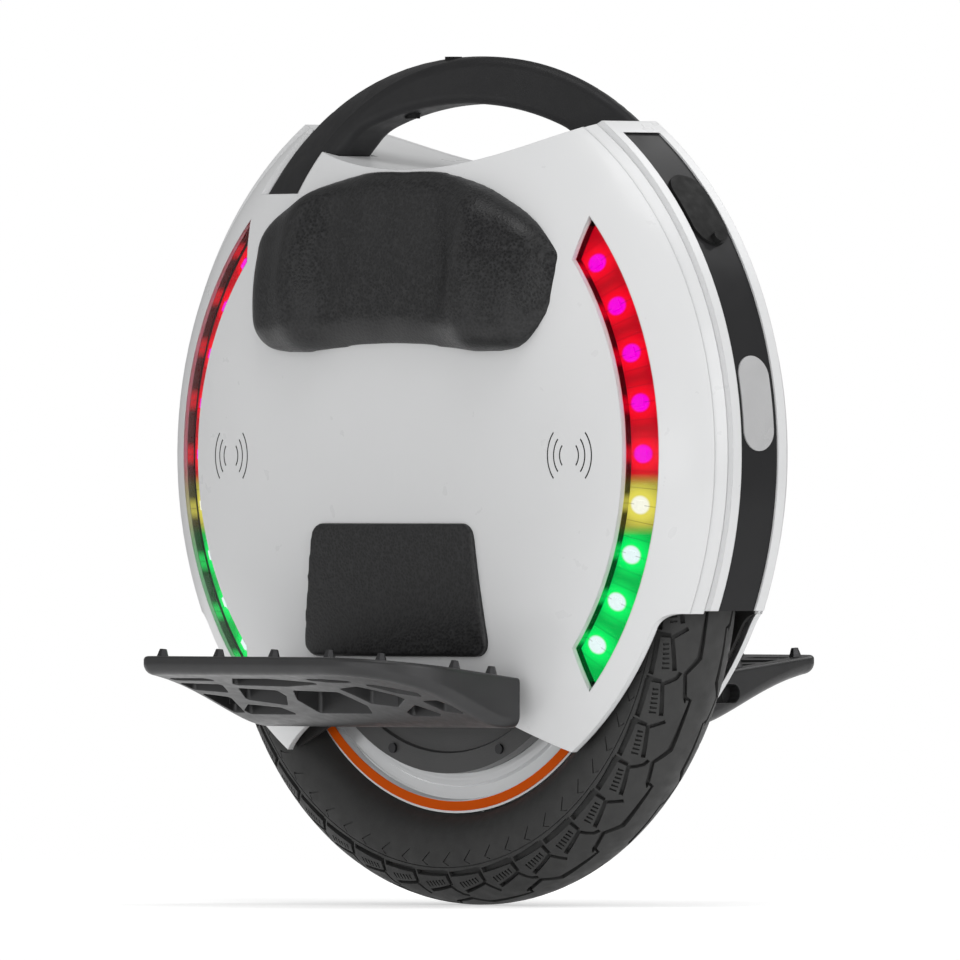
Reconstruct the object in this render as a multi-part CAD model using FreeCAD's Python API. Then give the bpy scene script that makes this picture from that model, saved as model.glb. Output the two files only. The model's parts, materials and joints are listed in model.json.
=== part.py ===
"""Electric unicycle: a hub-motor wheel in a domed shell, with a carry handle and folding pedals.

Frame: origin on the ground under the axle, +X to the front, +Y to the rider's left, +Z up.
Lengths are millimetres and angles are degrees. The object looks the same after half a turn
about Z, so most right-hand pieces are made on the -Y side and turned for the left.
"""
import FreeCAD
import Part
import os
from math import asin, cos, degrees, hypot, radians, sin, sqrt, tan

V = FreeCAD.Vector

# Clearances
GAP = 0.15
RUNNING_GAP = 0.05
BUTTON_GAP = 0.3
FAR = 400.0

# Wheel
TYRE_R = 177.8
TYRE_HALF_WIDTH = 29.0
TYRE_SECTION = 56.8
TYRE_WALL = 5.5
TREAD_WALL = 8.25
TYRE_BEAD_RISE = 11.3
TYRE_GROOVE_DEPTH = 2.6
TYRE_GROOVE_HALF_WIDTH = 1.6
TYRE_GROOVE_OFFSET = 8.0
# Shape of the tyre's section, as shares of its half width and of its height off the rim
TYRE_BULGE = ((0.9, 0.33), (1.0, 0.55), (0.9, 0.76), (0.55, 0.94), (0.0, 1.0))
TYRE_HOLLOW = ((0.0, 1.0), (0.5, 0.93), (1.0, 0.644))
RIM_FLANGE_HALF_WIDTH = 18.4
RIM_FLANGE_HEIGHT = 8.5
RIM_FLANGE_WALL = 2.8
RIM_STEP_HEIGHT = 2.0
RIM_STEP_SET = 3.0
RIM_DEPTH = 12.4
STRIPE_THICK = 0.5
STRIPE_MARGIN = 0.3
STRIPE_LIP = 1.2
VALVE_R = 2.7
VALVE_LENGTH = 6.0

# Hub motor
MOTOR_PROUD = 4.6
MOTOR_COVER_WALL = 6.0
MOTOR_RING_WIDTH = 10.6
MOTOR_RING_RAISE = 1.6
MOTOR_SCREWS = 8
MOTOR_SCREW_R = 2.6
MOTOR_SCREW_HEAD = 1.4
ROTOR_WALL = 8.6
MAGNET_THICK = 4.0
MAGNET_SET = 3.0
MAGNET_COUNT = 28
MAGNET_SPACE = 1.0
AIR_GAP = 0.8
STATOR_SET = 2.0
STATOR_RING_DEPTH = 33.0
COIL_CLEARANCE = 2.0
COIL_BEVEL = 6.0
STATOR_WEB = 8.0
AXLE_R = 8.5
AXLE_PROUD = 2.35
BEARING_DEPTH = 11.5
BEARING_WIDTH = 12.0
NUT_R = 14.0
NUT_THICK = 9.0

# Wheel arch
ARCH_RADIAL_GAP = 5.2
ARCH_SIDE_GAP = 2.0
ARCH_WALL = 2.5
ARCH_HUB_R = 70.0

# Shell: half width and radius fall off together as a rounded dome about a Y-axis
DOME_RISE = 59.0
CROWN_MARGIN = 31.2
BAY_DEPTH = 31.0
DOME_POINTS = 12
COVER_WALL = 3.0
COVER_STEP = 1.0
COVER_STEP_WIDTH = 6.5
COVER_FLANK_SET = 21.0
COVER_FLANK_LIP = 1.5
COVER_FLANK_FILLET = 14.0
COVER_TIP_ANGLE = 55.9
COVER_NOTCH_PAST_BARREL = 22.0
COVER_NOTCH_DROP = 15.0
COVER_ARCH_PAST_BARREL = 8.0
COVER_ARCH_RISE = 11.0

# Centre band, gloss strips and deck
BAND_LIP = 6.5
BAND_SET = 3.0
BAND_WALL = 7.0
BAND_END_DROP = 22.8
PEAK_SET = 35.0
STRIP_HALF_WIDTH = 13.5
STRIP_SET = 1.0
STRIP_WALL = 2.0
STRIP_TOP_SET = 6.3
VALLEY_SET = 60.0
VALLEY_R = 254.0
DECK_WALL = 3.5

# Handle: a slanted slice of the dome with an arched hand gap
HANDLE_HALF_WIDTH = 13.0
HANDLE_THICK = 25.0
HANDLE_SLANT = 24.2
HANDLE_LEDGE_SET = 11.8
HANDLE_EDGE_R = 5.0
HAND_GAP_SHOULDER = (53.4, 14.7)
HAND_GAP_FOOT = (67.0, 33.0)
HAND_GAP_BEND_R = 25.0

# Buttons
POWER_BUTTON_R = 4.5
POWER_BUTTON_X = -13.6
POWER_BUTTON_PROUD = 0.8
LIFT_BUTTON_R = 4.0
LIFT_BUTTON_X = -34.6
LIFT_BUTTON_PROUD = 1.6
BUTTON_DEPTH = 5.0
BUTTON_TRAVEL = 1.0

# Lights
LAMP_MARGIN = 2.5
LAMP_LENGTH = 50.0
LAMP_PROUD = 0.6
LAMP_LIFT = 7.4
LAMP_BOARD_MARGIN = 3.0
LAMP_BOARD_WALL = 1.6
LAMP_CHIP = 5.0
LAMP_CHIP_PITCH = 12.0
LIGHT_MARGIN = 32.5
LIGHT_WIDTH = 19.0
LIGHT_OUTER_SPAN = 44.6
LIGHT_INNER_SPAN = 40.0
LIGHT_LENS_WALL = 1.6
LIGHT_TRAY_RIM = 2.5
LIGHT_TRAY_DEPTH = 3.6
LIGHT_TRAY_WALL = 1.5
LIGHT_COUNT = 9
LIGHT_PITCH = 9.35
LIGHT_CHIP = 5.0
LIGHT_CHIP_THICK = 1.6

# Charge port
PORT_LIFT = 38.35
PORT_WALL = 3.0
PORT_BORE_R = 7.0
PORT_BORE_DEPTH = 10.0
PORT_BASE = 7.0
PORT_RECESS = 2.0
PORT_CONTACT_R = 0.9
CAP_MARGIN = 1.5
CAP_LENGTH = 46.0
CAP_THICK = 1.6
CAP_PLUG_DEPTH = 1.2
CAP_PLUG_GAP = 0.8
CAP_TAB_R = 3.2
CAP_TAB_REACH = 4.0

# Leg pads
UPPER_PAD_SET = 0.5
UPPER_PAD_STATIONS = (
    # across, lower edge and upper edge below the pad's top, height off the cover
    (0.0, 91.2, 0.0, 9.5),
    (30.0, 92.5, 1.0, 10.0),
    (44.0, 93.7, 3.9, 12.0),
    (57.0, 94.8, 7.6, 18.0),
    (70.0, 95.0, 12.8, 18.5),
    (84.0, 94.7, 19.5, 15.0),
    (104.0, 82.5, 34.5, 5.5),
    (114.0, 68.5, 43.5, 0.8),
)
UPPER_PAD_CORNER = 0.22
UPPER_PAD_BULGE = 0.29
UPPER_PAD_CROWN = 0.15
PAD_GAP = 0.3
LOWER_PAD_HALF_TOP = 58.7
LOWER_PAD_HALF_FOOT = 68.4
LOWER_PAD_HEIGHT = 69.9
LOWER_PAD_LIFT = 8.7
LOWER_PAD_THICK = 2.6
LOWER_PAD_CORNER_R = 8.0

# Pedals and their hangers
HINGE_MARGIN = 15.5
HINGE_DROP = 66.8
PIN_R = 4.0
PIN_SETBACK = 1.3
BARREL_WALL = 5.0
BARREL_HALF_LENGTH = 52.0
LUG_HALF_THICK = 7.0
HANGER_WALL = 10.0
HANGER_BOSS_R = 30.0
PEDAL_HALF_LENGTH = 93.3
PEDAL_ROOT = 16.0
PEDAL_REACH = 80.5
PEDAL_TOP = 9.0
PEDAL_TILT = 6.7
PEDAL_NOSE = 9.5
PEDAL_UNDERSIDE = ((44.0, 1.5), (12.0, -11.5), (-8.0, -17.0))
PEDAL_CORNER_R = 8.0
PEDAL_SWEPT_CORNER_R = 52.0
PEDAL_POCKET_CORNER_R = 2.0
PEDAL_EDGE_R = 2.0
PEDAL_UNDER_R = 6.0
TOUCH = 0.01
PEDAL_RECESS_DEPTH = 8.0
PEDAL_RECESS_OUT = 20.0
PEDAL_RECESS_HALF_HEIGHT = 5.0
PEDAL_BARREL_GAP = 0.8
STUD_HEIGHT = 4.5
STUD_BASE_R = 3.4
STUD_TIP_R = 1.9
# Studs and web pockets are placed by shares of the pedal's half length and of its reach
STUD_PLACES = (
    (-0.9, 0.882), (-0.439, 0.894), (0, 0.894), (0.439, 0.894), (0.686, 0.708),
    (-0.922, 0.311), (-0.922, -0.025), (0.922, 0.311), (0.922, -0.025),
)
PEDAL_POCKETS = (
    ((-0.9, 0.832), (-0.622, 0.832), (-0.536, 0.758), (-0.9, 0.77)),
    ((-0.922, 0.708), (-0.6, 0.683), (-0.686, 0.522), (-0.922, 0.571)),
    ((-0.922, 0.509), (-0.74, 0.447), (-0.836, 0.199), (-0.922, 0.199)),
    ((-0.386, 0.832), (-0.107, 0.832), (0.257, 0.708), (-0.107, 0.646), (-0.525, 0.671)),
    ((-0.536, 0.609), (-0.257, 0.571), (-0.268, 0.472), (-0.386, 0.323), (-0.643, 0.41)),
    ((-0.697, 0.335), (-0.472, 0.286), (-0.429, 0.174), (-0.815, 0.174), (-0.815, 0.236)),
    ((0.086, 0.832), (0.322, 0.832), (0.557, 0.77), (0.45, 0.733), (0.3, 0.745)),
    ((-0.129, 0.571), (0.204, 0.547), (0.247, 0.323), (0.182, 0.199), (-0.236, 0.199), (-0.236, 0.41)),
    ((0.514, 0.708), (0.622, 0.696), (0.836, 0.547), (0.815, 0.472), (0.665, 0.534)),
    ((0.268, 0.609), (0.45, 0.658), (0.622, 0.497), (0.643, 0.435), (0.482, 0.311), (0.311, 0.36)),
    ((0.75, 0.41), (0.879, 0.422), (0.922, 0.348), (0.922, 0.199), (0.793, 0.248)),
    ((0.472, 0.224), (0.643, 0.348), (0.729, 0.199), (0.686, 0.161), (0.472, 0.161)),
)

# Power and control
BATTERY_HALF_LENGTH = 78.0
BATTERY_HEIGHT = 118.0
BATTERY_LIFT = 19.0
BATTERY_MARGIN = 3.3
BATTERY_EDGE_R = 6.0
BOARD_LIFT = 52.0
BOARD_LENGTH = 70.0
BOARD_HALF_WIDTH = 26.0
BOARD_WALL = 2.0
HEAT_SINK_WALL = 4.0
HEAT_SINK_FIN = 8.0
HEAT_SINK_FIN_WALL = 2.0
HEAT_SINK_FINS = 7
CAPACITOR_R = 5.0
CAPACITOR_HEIGHT = 14.0
SPEAKER_MARGIN = 14.9
SPEAKER_R = 17.0
SPEAKER_MAGNET_R = 11.0
SPEAKER_DEPTH = 5.0

# Sizes worked out from the driving ones: wheel and motor
AXLE_Z = TYRE_R
RIM_BED_R = TYRE_R - TYRE_SECTION
RIM_FLANGE_R = RIM_BED_R + RIM_FLANGE_HEIGHT
RIM_STEP_R = RIM_BED_R + RIM_STEP_HEIGHT
MOTOR_R = RIM_BED_R - RIM_DEPTH
MOTOR_HALF_WIDTH = RIM_FLANGE_HALF_WIDTH + MOTOR_PROUD
MOTOR_INNER_Y = MOTOR_HALF_WIDTH - MOTOR_COVER_WALL
MOTOR_RING_INNER_R = MOTOR_R - MOTOR_RING_WIDTH
ROTOR_INNER_R = MOTOR_R - ROTOR_WALL
MAGNET_HALF_WIDTH = MOTOR_INNER_Y - MAGNET_SET
STATOR_HALF_WIDTH = MAGNET_HALF_WIDTH - STATOR_SET
BEARING_R = AXLE_R + BEARING_DEPTH

# Wheel arch, shell and band
ARCH_R = TYRE_R + ARCH_RADIAL_GAP
ARCH_OUTER_R = ARCH_R + ARCH_WALL
ARCH_INNER_Y = TYRE_HALF_WIDTH + ARCH_SIDE_GAP
ARCH_OUTER_Y = ARCH_INNER_Y + ARCH_WALL
DOME_Z = AXLE_Z + DOME_RISE
DOME_R = TYRE_R + CROWN_MARGIN
DOME_HALF_WIDTH = ARCH_OUTER_Y + BAY_DEPTH
BAND_R = DOME_R - BAND_SET
BAND_HALF_WIDTH = STRIP_HALF_WIDTH + BAND_LIP
BAND_END_Z = AXLE_Z - BAND_END_DROP
STRIP_R = BAND_R - STRIP_SET
PEAK_Z = DOME_Z + DOME_R - PEAK_SET
STRIP_TOP_Z = PEAK_Z - STRIP_TOP_SET
VALLEY_Z = DOME_Z + DOME_R - VALLEY_SET
COVER_FLANK_R = DOME_R - COVER_FLANK_SET
COVER_FLANK_Z = BAND_END_Z - COVER_FLANK_LIP

# Handle, lights and charge port
HANDLE_LEDGE_Z = VALLEY_Z - HANDLE_LEDGE_SET
HAND_GAP_Z = DOME_Z + DOME_R - HANDLE_THICK
HANDLE_SLOPE = tan(radians(HANDLE_SLANT))
LAMP_HALF_WIDTH = STRIP_HALF_WIDTH - LAMP_MARGIN
LIGHT_OUTER_R = DOME_R - LIGHT_MARGIN
LIGHT_INNER_R = LIGHT_OUTER_R - LIGHT_WIDTH
PORT_R = PORT_BORE_R + PORT_WALL
PORT_LENGTH = PORT_BORE_DEPTH + PORT_BASE
CAP_HALF_WIDTH = STRIP_HALF_WIDTH - CAP_MARGIN
SPEAKER_ACROSS = LIGHT_INNER_R - SPEAKER_MARGIN - SPEAKER_R

# Hangers, pedals and pads
HANGER_INNER_Y = ARCH_OUTER_Y + GAP
HANGER_OUTER_Y = HANGER_INNER_Y + HANGER_WALL
AXLE_HALF_LENGTH = HANGER_OUTER_Y + NUT_THICK + AXLE_PROUD
HINGE_OUT = DOME_HALF_WIDTH + HINGE_MARGIN
HINGE_Z = AXLE_Z - HINGE_DROP
BARREL_R = PIN_R + BARREL_WALL
PIN_HALF_LENGTH = PEDAL_HALF_LENGTH - PEDAL_RECESS_DEPTH - PIN_SETBACK
COVER_ARCH_Z = HINGE_Z + COVER_ARCH_RISE
UPPER_PAD_RISE = DOME_R - VALLEY_SET - UPPER_PAD_SET


def box(x0, x1, y0, y1, z0, z1):
    return Part.makeBox(x1 - x0, y1 - y0, z1 - z0, V(x0, y0, z0))


def rod(radius, start, end):
    axis = end.sub(start)
    return Part.makeCylinder(radius, axis.Length, start, axis)


def across(radius, z, y0=-FAR, y1=FAR):
    """Cylinder along Y through (0, z)."""
    return rod(radius, V(0, y0, z), V(0, y1, z))


def ring(inner, outer, y0, y1, z):
    return across(outer, z, y0, y1).cut(across(inner, z, y0, y1))


def spin(profile, z):
    """Solid of revolution of (y, r) corners about the Y-axis at height z."""
    corners = [V(0, y, z - r) for y, r in profile]
    face = Part.Face(Part.makePolygon(corners + corners[:1]))
    return face.revolve(V(0, 0, z), V(0, 1, 0), 360)


def plate(corners, y0, y1):
    """Prism along Y of (x, z) corners."""
    points = [V(x, y0, z) for x, z in corners]
    face = Part.Face(Part.makePolygon(points + points[:1]))
    return face.extrude(V(0, y1 - y0, 0))


def turned(shape):
    """The same piece after half a turn about Z."""
    copy = shape.copy()
    copy.rotate(V(0, 0, 0), V(0, 0, 1), 180)
    return copy


def whole(half):
    return half.fuse(turned(half)).removeSplitter()


def group(solids):
    return Part.makeCompound(list(solids))


def one(shape):
    """Largest solid of a cut, so that no offcut is kept."""
    return max(shape.Solids, key=lambda solid: solid.Volume)


def dome_width(r, grow=0.0):
    return (DOME_HALF_WIDTH + grow) * sqrt(1 - (r / (DOME_R + grow)) ** 4)


def dome_lean(r, grow=0.0):
    """Angle between the dome's outward normal and the Y-axis at radius r."""
    ratio = r / (DOME_R + grow)
    slope = 2 * (DOME_HALF_WIDTH + grow) * ratio ** 3 / (DOME_R + grow) / sqrt(1 - ratio ** 4)
    return degrees(asin(slope / sqrt(1 + slope ** 2)))


def half_dome(grow):
    """Right half of the dome, grown or shrunk all round."""
    radius = DOME_R + grow
    half_width = DOME_HALF_WIDTH + grow
    turns = [radians(90) * (i / DOME_POINTS) ** 1.5 for i in range(DOME_POINTS + 1)]
    points = [V(0, -half_width * cos(t), DOME_Z - radius * sqrt(sin(t))) for t in turns]
    curve = Part.BSplineCurve()
    curve.interpolate(points)
    middle = V(0, 0, DOME_Z)
    edges = [curve.toShape(), Part.makeLine(points[-1], middle), Part.makeLine(middle, points[0])]
    return Part.Face(Part.Wire(edges)).revolve(middle, V(0, 1, 0), 360)


def dome_layer(outer, inner):
    """Right half of the skin between two sizes of dome."""
    return half_dome(outer).cut(half_dome(inner))


def on_dome(r, lift, y):
    return V(r * cos(radians(lift)), y, DOME_Z + r * sin(radians(lift)))


def light_sector(middle, grow=0.0):
    """Prism of a curved light window about the dome's axis, on the right side."""
    y = -FAR
    outer = LIGHT_OUTER_R + grow
    inner = LIGHT_INNER_R - grow
    outer_span = LIGHT_OUTER_SPAN + degrees(grow / outer)
    inner_span = LIGHT_INNER_SPAN + degrees(grow / inner)
    a = on_dome(outer, middle - outer_span, y)
    b = on_dome(outer, middle + outer_span, y)
    c = on_dome(inner, middle + inner_span, y)
    d = on_dome(inner, middle - inner_span, y)
    edges = [
        Part.Arc(a, on_dome(outer, middle, y), b).toShape(),
        Part.makeLine(b, c),
        Part.Arc(c, on_dome(inner, middle, y), d).toShape(),
        Part.makeLine(d, a),
    ]
    return Part.Face(Part.Wire(edges)).extrude(V(0, FAR, 0))


def stadium(half_width, length, lift, r0, r1):
    """Radial prism with round ends on the front strip: length up the strip, width across it."""
    run = length / 2 - half_width
    shape = Part.makeBox(2 * half_width, 2 * run, r1 - r0, V(-half_width, -run, r0))
    for end in (-run, run):
        shape = shape.fuse(Part.makeCylinder(half_width, r1 - r0, V(0, end, r0)))
    return radial(shape.removeSplitter(), lift)


def radial(shape, lift):
    """Turn a piece made along +Z so that it points out of the front strip at an angle."""
    copy = shape.copy()
    copy.rotate(V(0, 0, 0), V(0, 0, 1), 90)
    copy.rotate(V(0, 0, 0), V(0, 1, 0), 90 - lift)
    copy.translate(V(0, 0, DOME_Z))
    return copy


def strip_ring(inner, outer, half_width=FAR):
    return ring(inner, outer, -half_width, half_width, DOME_Z)


def valley(grow=0.0):
    """Everything above the deck's hollow top."""
    return across(VALLEY_R + grow, VALLEY_Z + VALLEY_R)


def above(z):
    return box(-FAR, FAR, -FAR, FAR, z, z + FAR)


def below(z):
    return box(-FAR, FAR, -FAR, FAR, z - 2 * FAR, z)


def under_edge():
    """Everything below the arched lower edge of the covers and the wheel arch."""
    tip = radians(COVER_TIP_ANGLE)
    right = [
        (COVER_FLANK_R * cos(tip), DOME_Z - COVER_FLANK_R * sin(tip)),
        (BARREL_HALF_LENGTH + COVER_NOTCH_PAST_BARREL, HINGE_Z - COVER_NOTCH_DROP),
        (BARREL_HALF_LENGTH + COVER_ARCH_PAST_BARREL, COVER_ARCH_Z),
    ]
    left = [(-x, z) for x, z in reversed(right)]
    floor = DOME_Z - FAR
    return plate([(FAR, floor)] + right + left + [(-FAR, floor)], -FAR, FAR)


def below_flank(r):
    """Everything low on the front and rear that lies outside a circle about the dome's axis."""
    blank = below(COVER_FLANK_Z).cut(across(r, DOME_Z))
    corners = [edge for edge in blank.Edges
               if edge.BoundBox.YLength > FAR and edge.BoundBox.XMin ** 2 < r ** 2
               and abs(edge.BoundBox.ZMax - COVER_FLANK_Z) < GAP]
    return blank.makeFillet(COVER_FLANK_FILLET, corners)


def hand_gap():
    """Prism of the opening between the handle and the deck."""
    foot_x, foot_drop = HAND_GAP_FOOT
    shoulder_x, shoulder_drop = HAND_GAP_SHOULDER
    y = -FAR
    top = V(0, y, HAND_GAP_Z)
    right = V(shoulder_x, y, HAND_GAP_Z - shoulder_drop)
    left = V(-shoulder_x, y, HAND_GAP_Z - shoulder_drop)
    right_foot = V(foot_x, y, HAND_GAP_Z - foot_drop)
    left_foot = V(-foot_x, y, HAND_GAP_Z - foot_drop)
    right_base = V(foot_x, y, DOME_Z)
    left_base = V(-foot_x, y, DOME_Z)
    edges = [
        Part.Arc(left, top, right).toShape(),
        Part.makeLine(right, right_foot),
        Part.makeLine(right_foot, right_base),
        Part.makeLine(right_base, left_base),
        Part.makeLine(left_base, left_foot),
        Part.makeLine(left_foot, left),
    ]
    prism = Part.Face(Part.Wire(edges)).extrude(V(0, 2 * FAR, 0))
    bends = [edge for edge in prism.Edges
             if edge.BoundBox.YLength > FAR and abs(edge.CenterOfMass.z - right.z) < GAP]
    return prism.makeFillet(HAND_GAP_BEND_R, bends)


def handle_slice(grow=0.0):
    """Slanted slab that the handle is cut from, down to its ledge."""
    half = HANDLE_HALF_WIDTH + grow
    slab = box(-FAR, FAR, -half, half, HANDLE_LEDGE_Z - grow, DOME_Z + DOME_R + grow)
    slab.rotate(V(0, 0, 0), V(0, 0, 1), HANDLE_SLANT)
    return slab


def handle_blank():
    half = half_dome(0).common(handle_slice()).cut(hand_gap())
    return whole(half)


def handle_room():
    """Space that the shell leaves for the handle."""
    half = half_dome(GAP).common(handle_slice(GAP))
    gap = hand_gap()
    gap.scale(1 - GAP / HAND_GAP_FOOT[0], V(0, 0, DOME_Z))
    return whole(half.cut(gap))


def hand_gap_height(x):
    """Height of the handle's underside at x, on the arc of the hand gap."""
    shoulder_x, drop = HAND_GAP_SHOULDER
    radius = (shoulder_x ** 2 + drop ** 2) / (2 * drop)
    return HAND_GAP_Z - radius + sqrt(radius ** 2 - x ** 2)


def power_button_seat():
    """Point on the handle's crown under the power button."""
    y = POWER_BUTTON_X * HANDLE_SLOPE
    r = DOME_R * (1 - (y / DOME_HALF_WIDTH) ** 2) ** 0.25
    return V(POWER_BUTTON_X, y, DOME_Z + sqrt(r ** 2 - POWER_BUTTON_X ** 2))


def lift_button_seat():
    """Point on the handle's underside above the lift cut-off button."""
    return V(LIFT_BUTTON_X, LIFT_BUTTON_X * HANDLE_SLOPE, hand_gap_height(LIFT_BUTTON_X))


def button(radius, seat, proud, side):
    """Round push button standing proud of its seat, upwards or downwards."""
    top = seat.add(V(0, 0, side * proud))
    foot = seat.add(V(0, 0, -side * BUTTON_DEPTH))
    return rod(radius, foot, top)


def button_well(radius, seat, side):
    mouth = seat.add(V(0, 0, side * BUTTON_DEPTH))
    floor = seat.add(V(0, 0, -side * (BUTTON_DEPTH + BUTTON_TRAVEL + BUTTON_GAP)))
    return rod(radius + BUTTON_GAP, floor, mouth)


def handle_edges(handle):
    """Long edges of the handle, on the two faces of its slice and above its ledge."""
    lean = radians(HANDLE_SLANT)

    def off_face(point):
        return abs(abs(point.y * cos(lean) - point.x * sin(lean)) - HANDLE_HALF_WIDTH)

    ledge = HANDLE_LEDGE_Z + GAP
    return [edge for edge in handle.Edges
            if edge.BoundBox.ZMax > ledge and max(off_face(p) for p in edge.discretize(5)) < GAP]


def make_handle():
    handle = handle_blank()
    handle = handle.makeFillet(HANDLE_EDGE_R, handle_edges(handle))
    handle = handle.cut(button_well(POWER_BUTTON_R, power_button_seat(), 1))
    handle = handle.cut(button_well(LIFT_BUTTON_R, lift_button_seat(), -1))
    return one(handle)


def make_side_cover():
    cover = dome_layer(0, -COVER_WALL)
    edge = -BAND_HALF_WIDTH - GAP
    cover = cover.common(box(-FAR, FAR, -FAR, edge, -FAR, FAR + DOME_Z))
    step = dome_layer(GAP, -COVER_STEP)
    step = step.common(box(-FAR, FAR, edge - COVER_STEP_WIDTH, 0, -FAR, FAR + DOME_Z))
    for cutter in (
        step,
        valley(),
        above(PEAK_Z),
        below_flank(COVER_FLANK_R),
        under_edge(),
        light_sector(0),
        light_sector(180),
        handle_room(),
    ):
        cover = cover.cut(cutter)
    return one(cover)


def front_band_blank():
    band = strip_ring(BAND_R - BAND_WALL, BAND_R, BAND_HALF_WIDTH)
    channel = strip_ring(STRIP_R - STRIP_WALL - GAP, BAND_R + GAP, STRIP_HALF_WIDTH + GAP)
    channel = channel.cut(above(STRIP_TOP_Z + GAP))
    for cutter in (
        channel,
        valley(),
        above(PEAK_Z),
        below(BAND_END_Z),
        box(-FAR, 0, -FAR, FAR, -FAR, FAR + DOME_Z),
        across(ARCH_OUTER_R + GAP, AXLE_Z),
        stadium(LAMP_HALF_WIDTH + GAP, LAMP_LENGTH + 2 * GAP, LAMP_LIFT, 0, FAR),
    ):
        band = band.cut(cutter)
    return one(band)


def port_room():
    return radial(Part.makeCylinder(PORT_R + GAP, FAR), PORT_LIFT)


def front_strip_blank():
    strip = strip_ring(STRIP_R - STRIP_WALL, STRIP_R, STRIP_HALF_WIDTH)
    for cutter in (
        above(STRIP_TOP_Z),
        below(BAND_END_Z),
        box(-FAR, 0, -FAR, FAR, -FAR, FAR + DOME_Z),
        stadium(LAMP_HALF_WIDTH + GAP, LAMP_LENGTH + 2 * GAP, LAMP_LIFT, 0, FAR),
    ):
        strip = strip.cut(cutter)
    return one(strip)


def make_deck():
    deck = valley(DECK_WALL).cut(valley())
    inside = whole(half_dome(-COVER_WALL - GAP))
    deck = deck.common(inside)
    inner_r = BAND_R - BAND_WALL - GAP
    for cutter in (
        above(PEAK_Z),
        strip_ring(inner_r, DOME_R, BAND_HALF_WIDTH + GAP),
        handle_room(),
    ):
        deck = deck.cut(cutter)
    return one(deck)


def make_lamp_lens():
    blank = stadium(LAMP_HALF_WIDTH, LAMP_LENGTH, LAMP_LIFT, 0, FAR)
    return one(blank.common(strip_ring(BAND_R - BAND_WALL, STRIP_R + LAMP_PROUD)))


def make_lamp_board():
    half_width = LAMP_HALF_WIDTH + LAMP_BOARD_MARGIN
    length = LAMP_LENGTH + 2 * LAMP_BOARD_MARGIN
    face_r = sqrt((BAND_R - BAND_WALL) ** 2 - (length / 2) ** 2) - GAP
    board = stadium(half_width, length, LAMP_LIFT, face_r - LAMP_BOARD_WALL, face_r)
    for place in (-LAMP_CHIP_PITCH, 0, LAMP_CHIP_PITCH):
        corner = V(-LAMP_CHIP / 2, place - LAMP_CHIP / 2, face_r)
        chip = Part.makeBox(LAMP_CHIP, LAMP_CHIP, LAMP_BOARD_WALL, corner)
        board = board.fuse(radial(chip, LAMP_LIFT))
    return board.removeSplitter()


def make_light_lens(middle):
    return one(dome_layer(0, -LIGHT_LENS_WALL).common(light_sector(middle, -GAP)))


def make_light_tray(middle):
    rim = -COVER_WALL - GAP
    floor = rim - LIGHT_TRAY_DEPTH
    tray = dome_layer(rim, floor - LIGHT_TRAY_WALL).common(light_sector(middle, LIGHT_TRAY_RIM))
    return one(tray.cut(half_dome(GAP).cut(half_dome(floor)).common(light_sector(middle))))


def make_light_chips(middle):
    """Row of light chips seated on the tray floor, square to the dome."""
    grow = -COVER_WALL - GAP - LIGHT_TRAY_DEPTH
    r = (LIGHT_INNER_R + LIGHT_OUTER_R) / 2 + grow / 2
    chips = []
    for i in range(LIGHT_COUNT):
        lift = middle + (i - (LIGHT_COUNT - 1) / 2) * LIGHT_PITCH
        half = LIGHT_CHIP / 2
        chip = Part.makeBox(LIGHT_CHIP, LIGHT_CHIP, LIGHT_CHIP_THICK, V(-half, -half, GAP))
        chip.rotate(V(0, 0, 0), V(1, 0, 0), 90)
        chip.rotate(V(0, 0, 0), V(0, 0, 1), dome_lean(r, grow))
        chip.rotate(V(0, 0, 0), V(0, 1, 0), -lift)
        chip.translate(on_dome(r, lift, -dome_width(r, grow)))
        chips.append(chip)
    return group(chips)


def make_charge_socket():
    face = STRIP_R - PORT_RECESS
    body = Part.makeCylinder(PORT_R, PORT_LENGTH, V(0, 0, face - PORT_LENGTH))
    body = body.cut(Part.makeCylinder(PORT_BORE_R, PORT_BORE_DEPTH, V(0, 0, face - PORT_BORE_DEPTH)))
    floor = face - PORT_BORE_DEPTH - PORT_BASE / 2
    for i in range(3):
        place = V(PORT_BORE_R / 2 * cos(radians(120 * i)), PORT_BORE_R / 2 * sin(radians(120 * i)), floor)
        body = body.cut(Part.makeCylinder(PORT_CONTACT_R, PORT_BASE / 2, place))
    return radial(body, PORT_LIFT)


def make_charge_cap():
    outer = STRIP_R + GAP + CAP_THICK
    lid = stadium(CAP_HALF_WIDTH, CAP_LENGTH, PORT_LIFT, 0, FAR)
    lid = lid.common(strip_ring(STRIP_R + GAP, outer))
    plug = Part.makeCylinder(PORT_R - CAP_PLUG_GAP, CAP_PLUG_DEPTH + GAP + CAP_THICK / 2,
                             V(0, 0, STRIP_R - CAP_PLUG_DEPTH))
    low = PORT_LIFT - degrees((CAP_LENGTH / 2 - CAP_TAB_R) / STRIP_R)
    tab = Part.makeCylinder(CAP_TAB_R, CAP_TAB_REACH, V(0, 0, outer - CAP_THICK / 2))
    return one(lid.fuse(radial(plug, PORT_LIFT)).fuse(radial(tab, low)))


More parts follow.
